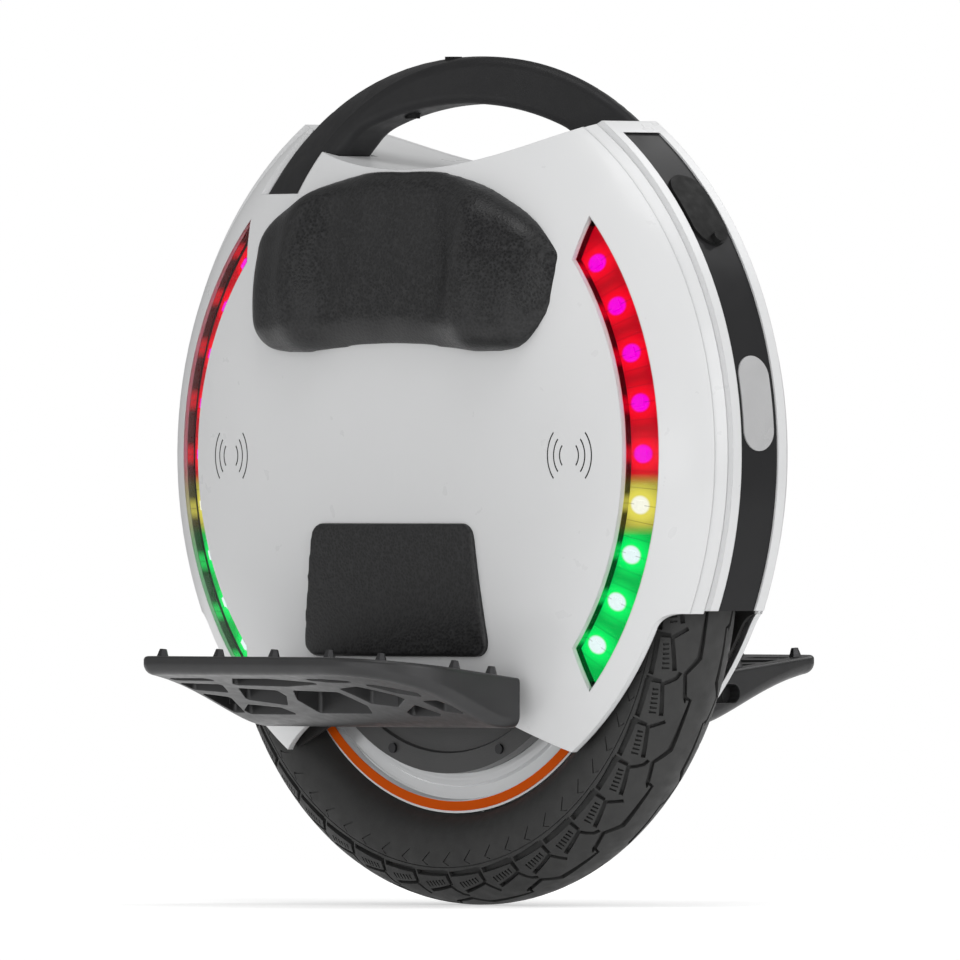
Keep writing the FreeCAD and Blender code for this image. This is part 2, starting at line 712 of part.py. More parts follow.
def pad_section(x, low_drop, high_drop, raise_by):
    """Closed outline of the thick pad at one place across: deep back, round sides, crowned face."""
    low = UPPER_PAD_RISE - low_drop
    high = UPPER_PAD_RISE - high_drop
    z0 = DOME_Z + low
    z1 = DOME_Z + high
    tall = z1 - z0
    corner = UPPER_PAD_CORNER * tall
    side0 = dome_width(sqrt(x ** 2 + low ** 2))
    side1 = dome_width(sqrt(x ** 2 + high ** 2))
    back = min(side0, side1) - COVER_WALL
    face0 = dome_width(sqrt(x ** 2 + (low + corner) ** 2)) + raise_by
    face1 = dome_width(sqrt(x ** 2 + (high - corner) ** 2)) + raise_by
    crown = (face0 + face1) / 2 + UPPER_PAD_CROWN * raise_by
    bulge = UPPER_PAD_BULGE

    def at(out, z):
        return V(x, -out, z)

    a, b = at(back, z0), at(side0, z0)
    c, d = at(face0, z0 + corner), at(face1, z1 - corner)
    e, f = at(side1, z1), at(back, z1)
    return Part.Wire([
        Part.makeLine(a, b),
        Part.Arc(b, at(face0 - bulge * (face0 - side0), z0 + bulge * corner), c).toShape(),
        Part.Arc(c, at(crown, (z0 + z1) / 2), d).toShape(),
        Part.Arc(d, at(face1 - bulge * (face1 - side1), z1 - bulge * corner), e).toShape(),
        Part.makeLine(e, f),
        Part.makeLine(f, a),
    ])


def make_upper_pad():
    left = [(-x, low, high, rise) for x, low, high, rise in reversed(UPPER_PAD_STATIONS[1:])]
    sections = [pad_section(*station) for station in left + list(UPPER_PAD_STATIONS)]
    blank = Part.makeLoft(sections, True, False)
    return one(blank.cut(half_dome(PAD_GAP)))


def make_lower_pad():
    top_x, foot_x = LOWER_PAD_HALF_TOP, LOWER_PAD_HALF_FOOT
    foot = COVER_ARCH_Z + LOWER_PAD_LIFT
    top = foot + LOWER_PAD_HEIGHT
    blank = plate([(-foot_x, foot), (foot_x, foot), (top_x, top), (-top_x, top)], -FAR, 0)
    corners = [edge for edge in blank.Edges if abs(edge.tangentAt(edge.FirstParameter).y) > 0.99]
    blank = blank.makeFillet(LOWER_PAD_CORNER_R, corners)
    return one(blank.common(dome_layer(PAD_GAP + LOWER_PAD_THICK, PAD_GAP)))


def make_wheel_arch():
    profile = [
        (-ARCH_OUTER_Y, ARCH_HUB_R), (-ARCH_OUTER_Y, ARCH_OUTER_R),
        (ARCH_OUTER_Y, ARCH_OUTER_R), (ARCH_OUTER_Y, ARCH_HUB_R),
        (ARCH_INNER_Y, ARCH_HUB_R), (ARCH_INNER_Y, ARCH_R),
        (-ARCH_INNER_Y, ARCH_R), (-ARCH_INNER_Y, ARCH_HUB_R),
    ]
    arch = spin(profile, AXLE_Z)
    arch = arch.common(whole(half_dome(-COVER_WALL - GAP)))
    arch = arch.cut(under_edge())
    arch = arch.cut(below_flank(COVER_FLANK_R - COVER_WALL))
    return one(arch.cut(below(AXLE_Z - ARCH_OUTER_R).fuse(band_ends())))


def band_ends():
    """Space below the ends of the centre band, where the arch stops at its rim."""
    low = below(BAND_END_Z)
    return low.common(ring(ARCH_R - ARCH_WALL, ARCH_OUTER_R + ARCH_WALL, -FAR, FAR, AXLE_Z))


def tyre_profile():
    """Right half of the tyre's section as (y, r) points, outer line then inner line."""
    w, wall, seat = TYRE_HALF_WIDTH, TYRE_WALL, RIM_FLANGE_HALF_WIDTH - RIM_FLANGE_WALL - GAP
    bead = RIM_BED_R + GAP
    rise = TYRE_R - bead
    outer = [(seat, bead), (seat, RIM_FLANGE_R)]
    outer += [(across * w, bead + up * rise) for across, up in TYRE_BULGE]
    inner = [(across * (w - wall), bead + up * (rise - TREAD_WALL)) for across, up in TYRE_HOLLOW]
    inner += [(seat - wall / 2, bead + TYRE_BEAD_RISE), (seat - wall, bead)]
    return outer, inner


def curve_through(points):
    curve = Part.BSplineCurve()
    curve.interpolate(points)
    return curve.toShape()


def make_tyre():
    outer, inner = tyre_profile()
    right = [V(0, -y, AXLE_Z - r) for y, r in outer]
    left = [V(0, y, AXLE_Z - r) for y, r in reversed(outer)]
    hollow = [V(0, y, AXLE_Z - r) for y, r in reversed(inner)]
    hollow += [V(0, -y, AXLE_Z - r) for y, r in inner[1:]]
    edges = [
        Part.makeLine(right[0], right[1]),
        curve_through(right[1:] + left[1:-1]),
        Part.makeLine(left[-2], left[-1]),
        Part.makeLine(left[-1], hollow[0]),
        curve_through(hollow),
        Part.makeLine(hollow[-1], right[0]),
    ]
    tyre = Part.Face(Part.Wire(edges)).revolve(V(0, 0, AXLE_Z), V(0, 1, 0), 360)
    for side in (-1, 1):
        middle = side * TYRE_GROOVE_OFFSET
        low = TYRE_R - TYRE_GROOVE_DEPTH - 1
        tyre = tyre.cut(ring(low, TYRE_R + 1, middle - TYRE_GROOVE_HALF_WIDTH,
                             middle + TYRE_GROOVE_HALF_WIDTH, AXLE_Z))
    return one(tyre)


def make_rim():
    flange_in = RIM_FLANGE_HALF_WIDTH - RIM_FLANGE_WALL
    step = (RIM_STEP_R + MOTOR_R) / 2
    half = [
        (RIM_FLANGE_HALF_WIDTH, RIM_FLANGE_R), (RIM_FLANGE_HALF_WIDTH, RIM_STEP_R),
        (RIM_FLANGE_HALF_WIDTH - RIM_STEP_SET, RIM_STEP_R - 1), (RIM_FLANGE_HALF_WIDTH - RIM_STEP_SET, step),
        (MOTOR_INNER_Y + RIM_STEP_SET / 6, step - 1), (MOTOR_INNER_Y + RIM_STEP_SET / 6, MOTOR_R + GAP),
        (MOTOR_INNER_Y - GAP, MOTOR_R + GAP), (MOTOR_INNER_Y - GAP, ROTOR_INNER_R),
    ]
    profile = [(flange_in, RIM_FLANGE_R)] + half
    mirrored = [(-y, r) for y, r in reversed(profile)]
    bed = [(-flange_in, RIM_BED_R), (flange_in, RIM_BED_R)]
    rim = spin(profile + mirrored + bed, AXLE_Z)
    return one(rim.cut(valve_rod(VALVE_R + GAP)))


def valve_rod(radius):
    """Valve stem leaning out of the rim bed to the right side."""
    inner = V(0, -RIM_FLANGE_HALF_WIDTH / 4, AXLE_Z + RIM_BED_R - VALVE_R / 2)
    outer = V(0, -RIM_FLANGE_HALF_WIDTH - VALVE_LENGTH, AXLE_Z + MOTOR_R + 2 * VALVE_R)
    return rod(radius, inner, outer)


def make_rim_stripe():
    y0 = -RIM_FLANGE_HALF_WIDTH - STRIPE_THICK
    outer = RIM_FLANGE_R - STRIPE_LIP
    return ring(RIM_STEP_R + STRIPE_MARGIN, outer, y0, -RIM_FLANGE_HALF_WIDTH, AXLE_Z)


def make_motor_cover():
    """Right end cover: bearing seat, dished web and raised screw ring."""
    w, wall = MOTOR_HALF_WIDTH, MOTOR_COVER_WALL
    seat = BEARING_R + GAP
    profile = [
        (-w - MOTOR_RING_RAISE, MOTOR_R), (-w - MOTOR_RING_RAISE, MOTOR_RING_INNER_R),
        (-w, MOTOR_RING_INNER_R - 1), (-w, 2.2 * BEARING_R), (-w - MOTOR_RING_RAISE, 1.8 * BEARING_R),
        (-w - MOTOR_RING_RAISE, seat), (-w + BEARING_WIDTH, seat),
        (-w + BEARING_WIDTH, 1.4 * BEARING_R), (-w + wall, 1.9 * BEARING_R), (-w + wall, MOTOR_R),
    ]
    return spin(profile, AXLE_Z)


def make_motor_screws():
    screws = []
    r = (MOTOR_R + MOTOR_RING_INNER_R) / 2
    y = MOTOR_HALF_WIDTH + MOTOR_RING_RAISE
    for i in range(MOTOR_SCREWS):
        turn = radians(360 * (i + 0.5) / MOTOR_SCREWS)
        x, z = r * cos(turn), AXLE_Z + r * sin(turn)
        for side in (-1, 1):
            screws.append(rod(MOTOR_SCREW_R, V(x, side * y, z), V(x, side * (y + MOTOR_SCREW_HEAD), z)))
    return group(screws)


def make_magnets():
    outer = ROTOR_INNER_R - GAP
    ring_blank = ring(outer - MAGNET_THICK, outer, -MAGNET_HALF_WIDTH, MAGNET_HALF_WIDTH, AXLE_Z)
    pitch = 360 / MAGNET_COUNT
    slots = []
    for i in range(MAGNET_COUNT):
        slot = box(-MAGNET_SPACE / 2, MAGNET_SPACE / 2, -FAR, FAR, AXLE_Z, AXLE_Z + ROTOR_INNER_R)
        slot.rotate(V(0, 0, AXLE_Z), V(0, 1, 0), pitch * i)
        slots.append(slot)
    return group(ring_blank.cut(slots).Solids)


def make_bearing():
    y0 = -MOTOR_HALF_WIDTH
    return ring(AXLE_R + RUNNING_GAP, BEARING_R, y0, y0 + BEARING_WIDTH, AXLE_Z)


def make_stator():
    outer = ROTOR_INNER_R - GAP - MAGNET_THICK - AIR_GAP
    inner = outer - STATOR_RING_DEPTH
    w, coil, web = STATOR_HALF_WIDTH, MOTOR_INNER_Y - COIL_CLEARANCE, STATOR_WEB / 2
    hub_w = MOTOR_HALF_WIDTH - BEARING_WIDTH - GAP
    half = [
        (hub_w, AXLE_R + RUNNING_GAP), (hub_w, BEARING_R), (web, BEARING_R + 2), (web, inner),
        (w, inner), (coil, inner + COIL_BEVEL), (coil, outer - COIL_BEVEL), (w, outer - COIL_BEVEL / 2),
        (w, outer),
    ]
    return spin(half + [(-y, r) for y, r in reversed(half)], AXLE_Z)


def make_axle_nut():
    corners = [(NUT_R * cos(radians(60 * i)), AXLE_Z + NUT_R * sin(radians(60 * i))) for i in range(6)]
    y0 = -HANGER_OUTER_Y - NUT_THICK
    return plate(corners, y0, -HANGER_OUTER_Y).cut(across(AXLE_R + RUNNING_GAP, AXLE_Z))


def make_hanger():
    """Right pedal arm: clamped on the axle, running down to the hinge barrel."""
    half = BARREL_HALF_LENGTH
    corners = [
        (-HANGER_BOSS_R, AXLE_Z), (HANGER_BOSS_R, AXLE_Z), (half, HINGE_Z + 1.5 * LUG_HALF_THICK),
        (half, HINGE_Z - LUG_HALF_THICK), (-half, HINGE_Z - LUG_HALF_THICK),
        (-half, HINGE_Z + 1.5 * LUG_HALF_THICK),
    ]
    arm = plate(corners, -HANGER_OUTER_Y, -HANGER_INNER_Y)
    arm = arm.fuse(across(HANGER_BOSS_R, AXLE_Z, -HANGER_OUTER_Y, -HANGER_INNER_Y))
    lug = box(-half, half, -HINGE_OUT, -HANGER_OUTER_Y, HINGE_Z - LUG_HALF_THICK, HINGE_Z + LUG_HALF_THICK)
    barrel = hinge_rod(BARREL_R, half)
    arm = arm.fuse(lug).fuse(barrel).removeSplitter()
    return arm.cut(across(AXLE_R + RUNNING_GAP, AXLE_Z)).cut(hinge_rod(PIN_R + RUNNING_GAP, FAR))


def hinge_rod(radius, half_length):
    return rod(radius, V(-half_length, -HINGE_OUT, HINGE_Z), V(half_length, -HINGE_OUT, HINGE_Z))


def pedal_point(x, out, up):
    """Point given from the right hinge: along X, outwards and upwards."""
    return V(x, -HINGE_OUT - out, HINGE_Z + up)


def pedal_top(out):
    return PEDAL_TOP + (out + PEDAL_ROOT) * tan(radians(PEDAL_TILT))


def pedal_outline():
    """Plan of the pedal: square root, one tight and one swept outer corner."""
    x, root, reach = PEDAL_HALF_LENGTH, -PEDAL_ROOT, PEDAL_REACH
    r0, r1 = PEDAL_CORNER_R, PEDAL_SWEPT_CORNER_R
    bend = 1 - sqrt(0.5)
    up = -FAR
    edges = [
        Part.makeLine(pedal_point(-x, root, up), pedal_point(-x, reach - r0, up)),
        Part.Arc(pedal_point(-x, reach - r0, up), pedal_point(-x + bend * r0, reach - bend * r0, up),
                 pedal_point(-x + r0, reach, up)).toShape(),
        Part.makeLine(pedal_point(-x + r0, reach, up), pedal_point(x - r1, reach, up)),
        Part.Arc(pedal_point(x - r1, reach, up), pedal_point(x - bend * r1, reach - bend * r1, up),
                 pedal_point(x, reach - r1, up)).toShape(),
        Part.makeLine(pedal_point(x, reach - r1, up), pedal_point(x, root, up)),
        Part.makeLine(pedal_point(x, root, up), pedal_point(-x, root, up)),
    ]
    return Part.Face(Part.Wire(edges)).extrude(V(0, 0, 2 * FAR))


def pedal_side():
    """Side profile of the pedal swept along X: flat sloping top, S-shaped underside, past the nose."""
    x, end = -PEDAL_HALF_LENGTH, PEDAL_REACH + PEDAL_NOSE
    under = [pedal_point(x, out, pedal_top(out) - PEDAL_NOSE) for out in (end, PEDAL_REACH - PEDAL_NOSE / 2)]
    under += [pedal_point(x, out, up) for out, up in PEDAL_UNDERSIDE]
    under.append(pedal_point(x, -PEDAL_ROOT, PEDAL_UNDERSIDE[-1][1]))
    root_top = pedal_point(x, -PEDAL_ROOT, pedal_top(-PEDAL_ROOT))
    tip = pedal_point(x, end, pedal_top(end))
    edges = [
        Part.makeLine(root_top, tip),
        Part.makeLine(tip, under[0]),
        curve_through(under),
        Part.makeLine(under[-1], root_top),
    ]
    return Part.Face(Part.Wire(edges)).extrude(V(2 * PEDAL_HALF_LENGTH, 0, 0))


def pedal_edges(blank, on_top):
    """Edges round the top or round the underside of the casting, without those at its root."""
    chosen = []
    for edge in blank.Edges:
        ends = [vertex.Point for vertex in edge.Vertexes]
        outs = [-point.y - HINGE_OUT for point in ends]
        tops = [abs(point.z - HINGE_Z - pedal_top(out)) < TOUCH for point, out in zip(ends, outs)]
        if all(tops) == on_top and any(tops) == on_top and max(outs) > TOUCH - PEDAL_ROOT:
            chosen.append(edge)
    return chosen


def pedal_blank():
    """Solid casting before the cuts, with a small rounding on top and a large one below."""
    blank = one(pedal_side().common(pedal_outline()))
    blank = blank.makeFillet(PEDAL_UNDER_R, pedal_edges(blank, False))
    return blank.makeFillet(PEDAL_EDGE_R, pedal_edges(blank, True))


def pedal_pocket(corners):
    points = [pedal_point(x * PEDAL_HALF_LENGTH, out * PEDAL_REACH, -FAR) for x, out in corners]
    prism = Part.Face(Part.makePolygon(points + points[:1])).extrude(V(0, 0, 2 * FAR))
    uprights = [edge for edge in prism.Edges if abs(edge.tangentAt(edge.FirstParameter).z) > 0.99]
    return prism.makeFillet(PEDAL_POCKET_CORNER_R, uprights)


def barrel_room():
    """Space in the pedal for the hanger's barrel and lug, also while the pedal folds up."""
    half = BARREL_HALF_LENGTH + PEDAL_BARREL_GAP
    room = BARREL_R + PEDAL_BARREL_GAP
    lug = LUG_HALF_THICK + BUTTON_GAP
    inner = pedal_point(-half, room, 0)
    outer = pedal_point(half, -FAR / 4, FAR / 4)
    shape = Part.makeBox(2 * half, outer.y - inner.y, outer.z - inner.z, inner)
    foot = pedal_point(-half, 0, -lug)
    shape = shape.fuse(Part.makeBox(2 * half, outer.y - foot.y, outer.z - foot.z, foot))
    return shape.fuse(hinge_rod(room, half))


def end_recess():
    """Slot in the pedal's rear end that shows the hinge pin."""
    half = PEDAL_RECESS_HALF_HEIGHT
    y_out = pedal_point(0, PEDAL_RECESS_OUT - half, 0).y
    floor = PEDAL_RECESS_DEPTH - PEDAL_HALF_LENGTH
    slot = box(-FAR, floor, y_out, -HINGE_OUT + FAR, HINGE_Z - half, HINGE_Z + half)
    return slot.fuse(rod(half, V(-FAR, y_out, HINGE_Z), V(floor, y_out, HINGE_Z)))


def make_pedal():
    """Casting with web pockets, room for the hanger and a bore for the pin, blind at the front end."""
    pedal = pedal_blank().cut([pedal_pocket(corners) for corners in PEDAL_POCKETS])
    pedal = pedal.cut(barrel_room()).cut(end_recess())
    return one(pedal.cut(hinge_rod(PIN_R + RUNNING_GAP, PIN_HALF_LENGTH + 2 * PIN_SETBACK)))


def hexagon(radius, z):
    corners = [V(radius * cos(radians(60 * i)), radius * sin(radians(60 * i)), z) for i in range(6)]
    return Part.makePolygon(corners + corners[:1])


def make_pedal_studs():
    studs = []
    for along, reach in STUD_PLACES:
        x, out = along * PEDAL_HALF_LENGTH, reach * PEDAL_REACH
        stud = Part.makeLoft([hexagon(STUD_BASE_R, 0), hexagon(STUD_TIP_R, STUD_HEIGHT)], True, True)
        stud.rotate(V(0, 0, 0), V(1, 0, 0), -PEDAL_TILT)
        stud.translate(pedal_point(x, out, pedal_top(out)))
        studs.append(stud)
    return group(studs)


def make_battery():
    """Right pack, standing on the wheel arch and as thick as the cover leaves room for."""
    x = BATTERY_HALF_LENGTH
    low = AXLE_Z + HANGER_BOSS_R + BATTERY_LIFT
    high = low + BATTERY_HEIGHT
    corner = max(hypot(x, high - DOME_Z), hypot(x, low - DOME_Z))
    outer = dome_width(corner, -COVER_WALL) - BATTERY_MARGIN
    pack = box(-x, x, -outer, -ARCH_OUTER_Y - GAP, low, high)
    return pack.makeFillet(BATTERY_EDGE_R, pack.Edges)


def on_arch(shape):
    """Turn a piece made on top of the wheel arch forward to its place over the front of the arch."""
    copy = shape.copy()
    copy.translate(V(0, 0, AXLE_Z + ARCH_OUTER_R + GAP))
    copy.rotate(V(0, 0, AXLE_Z), V(0, 1, 0), 90 - BOARD_LIFT)
    return copy


def make_heat_sink():
    length, half = BOARD_LENGTH, BOARD_HALF_WIDTH
    sink = box(-length / 2, length / 2, -half, half, 0, HEAT_SINK_WALL)
    pitch = 2 * half / HEAT_SINK_FINS
    fin = HEAT_SINK_FIN_WALL / 2
    for i in range(HEAT_SINK_FINS):
        y = -half + (i + 0.5) * pitch
        sink = sink.fuse(box(length / 2, length / 2 + HEAT_SINK_FIN, y - fin, y + fin, 0, HEAT_SINK_WALL))
    return on_arch(sink.removeSplitter())


def make_control_board():
    length, half = BOARD_LENGTH, BOARD_HALF_WIDTH
    top = HEAT_SINK_WALL + GAP + BOARD_WALL
    board = box(-length / 2, length / 2, -half, half, HEAT_SINK_WALL + GAP, top)
    for i in (-1, 0, 1):
        base = V(i * 3 * CAPACITOR_R, half / 2, top)
        board = board.fuse(Part.makeCylinder(CAPACITOR_R, CAPACITOR_HEIGHT, base))
    return on_arch(board.removeSplitter())


def make_speakers():
    """Two speakers behind the right cover, with their magnets seated on the wheel arch."""
    front = dome_width(SPEAKER_ACROSS + SPEAKER_R) - COVER_WALL - 2 * GAP
    back = ARCH_OUTER_Y + GAP
    speakers = []
    for x in (-SPEAKER_ACROSS, SPEAKER_ACROSS):
        cone = rod(SPEAKER_R, V(x, -front, DOME_Z), V(x, -front + SPEAKER_DEPTH, DOME_Z))
        magnet = rod(SPEAKER_MAGNET_R, V(x, -front + SPEAKER_DEPTH, DOME_Z), V(x, -back, DOME_Z))
        speakers.append(cone.fuse(magnet))
    return group(speakers)


def make_pair(pieces, name, shape):
    pieces["right_" + name] = shape
    pieces["left_" + name] = turned(shape)


def build_shell(pieces):
    make_pair(pieces, "side_cover", make_side_cover())
    band = front_band_blank()
    pieces["front_band"] = one(band.cut(port_room()))
    pieces["rear_band"] = turned(band)
    strip = front_strip_blank()
    pieces["front_strip"] = one(strip.cut(port_room()))
    pieces["rear_strip"] = turned(strip)
    pieces["deck"] = make_deck()
    pieces["handle"] = make_handle()
    pieces["power_button"] = button(POWER_BUTTON_R, power_button_seat(), POWER_BUTTON_PROUD, 1)
    pieces["lift_button"] = button(LIFT_BUTTON_R, lift_button_seat(), LIFT_BUTTON_PROUD, -1)
    pieces["wheel_arch"] = make_wheel_arch()
    make_pair(pieces, "upper_pad", make_upper_pad())
    make_pair(pieces, "lower_pad", make_lower_pad())


def build_lights(pieces):
    lens = make_lamp_lens()
    pieces["headlight_lens"] = lens
    pieces["tail_light_lens"] = turned(lens)
    board = make_lamp_board()
    pieces["headlight_board"] = board
    pieces["tail_light_board"] = turned(board)
    for place, middle in (("front", 0), ("rear", 180)):
        other = "rear" if place == "front" else "front"
        for name, make in (
            ("light_lens", make_light_lens), ("light_tray", make_light_tray), ("lights", make_light_chips),
        ):
            shape = make(middle)
            pieces["right_" + place + "_" + name] = shape
            pieces["left_" + other + "_" + name] = turned(shape)


def build_wheel(pieces):
    pieces["tyre"] = make_tyre()
    pieces["rim"] = make_rim()
    stripe = make_rim_stripe()
    pieces["rim_stripes"] = group([stripe, turned(stripe)])
    pieces["valve_stem"] = valve_rod(VALVE_R)
    make_pair(pieces, "motor_cover", make_motor_cover())
    pieces["motor_screws"] = make_motor_screws()
    pieces["magnets"] = make_magnets()
    make_pair(pieces, "bearing", make_bearing())
    pieces["stator"] = make_stator()
    pieces["axle"] = across(AXLE_R, AXLE_Z, -AXLE_HALF_LENGTH, AXLE_HALF_LENGTH)
    nut = make_axle_nut()
    pieces["axle_nuts"] = group([nut, turned(nut)])


def build_pedals(pieces):
    make_pair(pieces, "hanger", make_hanger())
    make_pair(pieces, "hinge_pin", hinge_rod(PIN_R, PIN_HALF_LENGTH))
    make_pair(pieces, "pedal", make_pedal())
    make_pair(pieces, "pedal_studs", make_pedal_studs())


def build_power(pieces):
    pieces["charge_socket"] = make_charge_socket()
    pieces["charge_cap"] = make_charge_cap()
    make_pair(pieces, "battery", make_battery())
    pieces["heat_sink"] = make_heat_sink()
    pieces["control_board"] = make_control_board()
    make_pair(pieces, "speakers", make_speakers())


def main():
    pieces = {}
    build_shell(pieces)
    build_lights(pieces)
    build_wheel(pieces)
    build_pedals(pieces)
    build_power(pieces)
    os.makedirs("parts", exist_ok=True)
    for name, shape in pieces.items():
        shape.exportStep("parts/" + name + ".step")
        print(name, len(shape.Solids), "solids", round(shape.Volume), "mm3", "valid", shape.isValid())


main()
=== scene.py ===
# %% [markdown]
# # An electric unicycle, dressed
# The frame below is the machine itself: covers, wheel, pedals and lights, each at its real size and
# on its own moving body. This lesson gives every surface its finish, and builds the pieces that a
# mesh shows better than a solid does: the leather leg pads, the treaded tyre and the printed marks.
# Two small plates close a gap in the pedals.

import json
from math import cos, hypot, pi, radians, sin, sqrt

import bmesh
import bpy
from mathutils import Matrix, Vector


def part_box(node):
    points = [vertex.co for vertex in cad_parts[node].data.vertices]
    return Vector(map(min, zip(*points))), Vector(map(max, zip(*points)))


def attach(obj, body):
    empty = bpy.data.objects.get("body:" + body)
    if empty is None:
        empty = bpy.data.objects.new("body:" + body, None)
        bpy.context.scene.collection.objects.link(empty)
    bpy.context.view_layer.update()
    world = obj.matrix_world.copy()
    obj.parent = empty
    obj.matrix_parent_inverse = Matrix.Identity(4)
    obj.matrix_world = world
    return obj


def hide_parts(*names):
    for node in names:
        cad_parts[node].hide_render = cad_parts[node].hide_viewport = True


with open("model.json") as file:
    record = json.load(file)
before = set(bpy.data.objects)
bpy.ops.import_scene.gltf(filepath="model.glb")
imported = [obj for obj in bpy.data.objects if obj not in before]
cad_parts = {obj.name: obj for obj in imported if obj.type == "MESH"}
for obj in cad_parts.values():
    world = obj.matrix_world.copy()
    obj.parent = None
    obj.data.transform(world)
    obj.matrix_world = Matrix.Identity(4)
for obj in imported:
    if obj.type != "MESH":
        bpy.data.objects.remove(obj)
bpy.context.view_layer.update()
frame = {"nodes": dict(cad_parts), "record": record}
nodes = frame["nodes"]
slot_of = {part["node"]: part["material_slot"] for part in frame["record"]["subparts"]}
MM = 0.001

# %% [markdown]
# ## Places that several pieces share
# The side covers are one dome, turned about a cross axis: its half width falls from the middle
# outwards as a rounded curve. Pads, marks and light windows lie on it, so its numbers come first,
# measured from the wheel, which the frame gives us.

# %% Shared places
tyre_low, tyre_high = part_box("tyre")
AXLE_Z = (tyre_low.z + tyre_high.z) / 2
TYRE_R = (tyre_high.z - tyre_low.z) / 2
DOME_R = 209 * MM
DOME_HALF_WIDTH = 64.5 * MM
DOME_Z = AXLE_Z + 59 * MM
MERGE_REACH = 0.02 * MM


def dome_out(x, z):
    """How far the dome stands out from the middle plane at a place on its side."""
    r = hypot(x, z - DOME_Z)
    return DOME_HALF_WIDTH * sqrt(max(0, 1 - (r / DOME_R) ** 4))


print("axle at", round(AXLE_Z, 4), "and dome centre at", round(DOME_Z, 4), "above the floor")

# %% [markdown]
# ## A kit for finishes
# Every finish is a Principled shader with a few procedural nodes in front of it. Small helpers do the
# wiring: one starts a finish, one adds a node with its inputs filled in, some make a grey pattern,
# and the last three turn such a pattern into colour, relief or roughness. Patterns read Object
# coordinates, which are metres in the frame, so a scale of 1000 means about one feature to a
# millimetre.

# %% Finish helpers
finishes = {}


def start_finish(slot, colour, roughness, **sockets):
    """A new Principled finish under a slot's name, with plain values on its own sockets."""
    material = bpy.data.materials.new(slot)
    material.use_nodes = True
    shader = material.node_tree.nodes["Principled BSDF"]
    shader.inputs["Base Color"].default_value = (*colour, 1)
    shader.inputs["Roughness"].default_value = roughness
    for socket, value in sockets.items():
        shader.inputs[socket.replace("_", " ")].default_value = value
    finishes[slot] = material
    return material.node_tree, shader


def add_node(tree, kind, inputs=(), **settings):
    """A node with its settings made and its inputs, by place, filled with values or links."""
    node = tree.nodes.new("ShaderNode" + kind)
    for name, value in settings.items():
        setattr(node, name, value)
    for place, value in dict(inputs).items():
        if isinstance(value, bpy.types.NodeSocket):
            tree.links.new(value, node.inputs[place])
        else:
            node.inputs[place].default_value = value
    return node


def place_of(tree):
    return add_node(tree, "TexCoord").outputs["Object"]


def noise(tree, scale, detail=2.0, where=None):
    inputs = {"Vector": where or place_of(tree), "Scale": scale, "Detail": detail}
    return add_node(tree, "TexNoise", inputs).outputs["Fac"]


def cells(tree, scale, where=None, feature="F1"):
    inputs = {"Vector": where or place_of(tree), "Scale": scale}
    return add_node(tree, "TexVoronoi", inputs, feature=feature).outputs["Distance"]


def calc(tree, operation, first, second=0.0):
    return add_node(tree, "Math", {0: first, 1: second}, operation=operation).outputs[0]


def spread(tree, grey, low, high, start=0.3, end=0.7):
    """A grey pattern stretched to run from low to high."""
    inputs = {"Value": grey, "From Min": start, "From Max": end, "To Min": low, "To Max": high}
    return add_node(tree, "MapRange", inputs).outputs["Result"]


def tint(tree, shader, grey, dark, light):
    """Base colour that wanders between two near colours."""
    inputs = {"Factor": grey, 6: (*dark, 1), 7: (*light, 1)}
    mix = add_node(tree, "Mix", inputs, data_type="RGBA")
    tree.links.new(mix.outputs[2], shader.inputs["Base Color"])


def emboss(tree, shader, height, depth, edge=0.0):
    """Relief of a given depth in metres from a grey height, over edges rounded by a given radius."""
    inputs = {"Height": height, "Distance": depth}
    if edge:
        inputs["Normal"] = add_node(tree, "Bevel", {"Radius": edge}, samples=4).outputs["Normal"]
    bump = add_node(tree, "Bump", inputs)
    tree.links.new(bump.outputs["Normal"], shader.inputs["Normal"])


def vary_roughness(tree, shader, grey, low, high):
    tree.links.new(spread(tree, grey, low, high), shader.inputs["Roughness"])


# %% [markdown]
# ## Moulded plastics
# The shell is white semi-gloss plastic. Up close such a moulding is never flat: its gloss wanders a
# little, and a faint orange peel bends the reflections. The black strip is polished, so it only gets
# soft smudges. Handle and arch are grained, in cells of a third to two thirds of a millimetre. No
# moulding has a truly sharp edge, so the shell, the handle and the pedals are shaded as if theirs
# were a little rounded.

# %% Plastic finishes
SOFT_EDGE = 0.9 * MM
tree, shader = start_finish(
    "white_shell", (0.76, 0.765, 0.77), 0.3, Coat_Weight=0.15, Coat_Roughness=0.12,
)
tint(tree, shader, noise(tree, 7), (0.72, 0.725, 0.73), (0.78, 0.785, 0.79))
vary_roughness(tree, shader, noise(tree, 60, 4), 0.27, 0.36)
emboss(tree, shader, noise(tree, 900), 0.02 * MM, SOFT_EDGE)

tree, shader = start_finish("gloss_strip", (0.028, 0.028, 0.029), 0.2, Specular_IOR_Level=0.06)
tint(tree, shader, noise(tree, 30), (0.025, 0.025, 0.026), (0.031, 0.031, 0.032))
vary_roughness(tree, shader, noise(tree, 45, 5), 0.14, 0.26)
emboss(tree, shader, noise(tree, 700), 0.01 * MM)

tree, shader = start_finish("handle_plastic", (0.02, 0.02, 0.021), 0.45, Specular_IOR_Level=0.3)
tint(tree, shader, noise(tree, 90, 3), (0.013, 0.013, 0.014), (0.018, 0.018, 0.019))
vary_roughness(tree, shader, noise(tree, 120, 3), 0.4, 0.52)
emboss(tree, shader, cells(tree, 2600), 0.05 * MM, SOFT_EDGE)

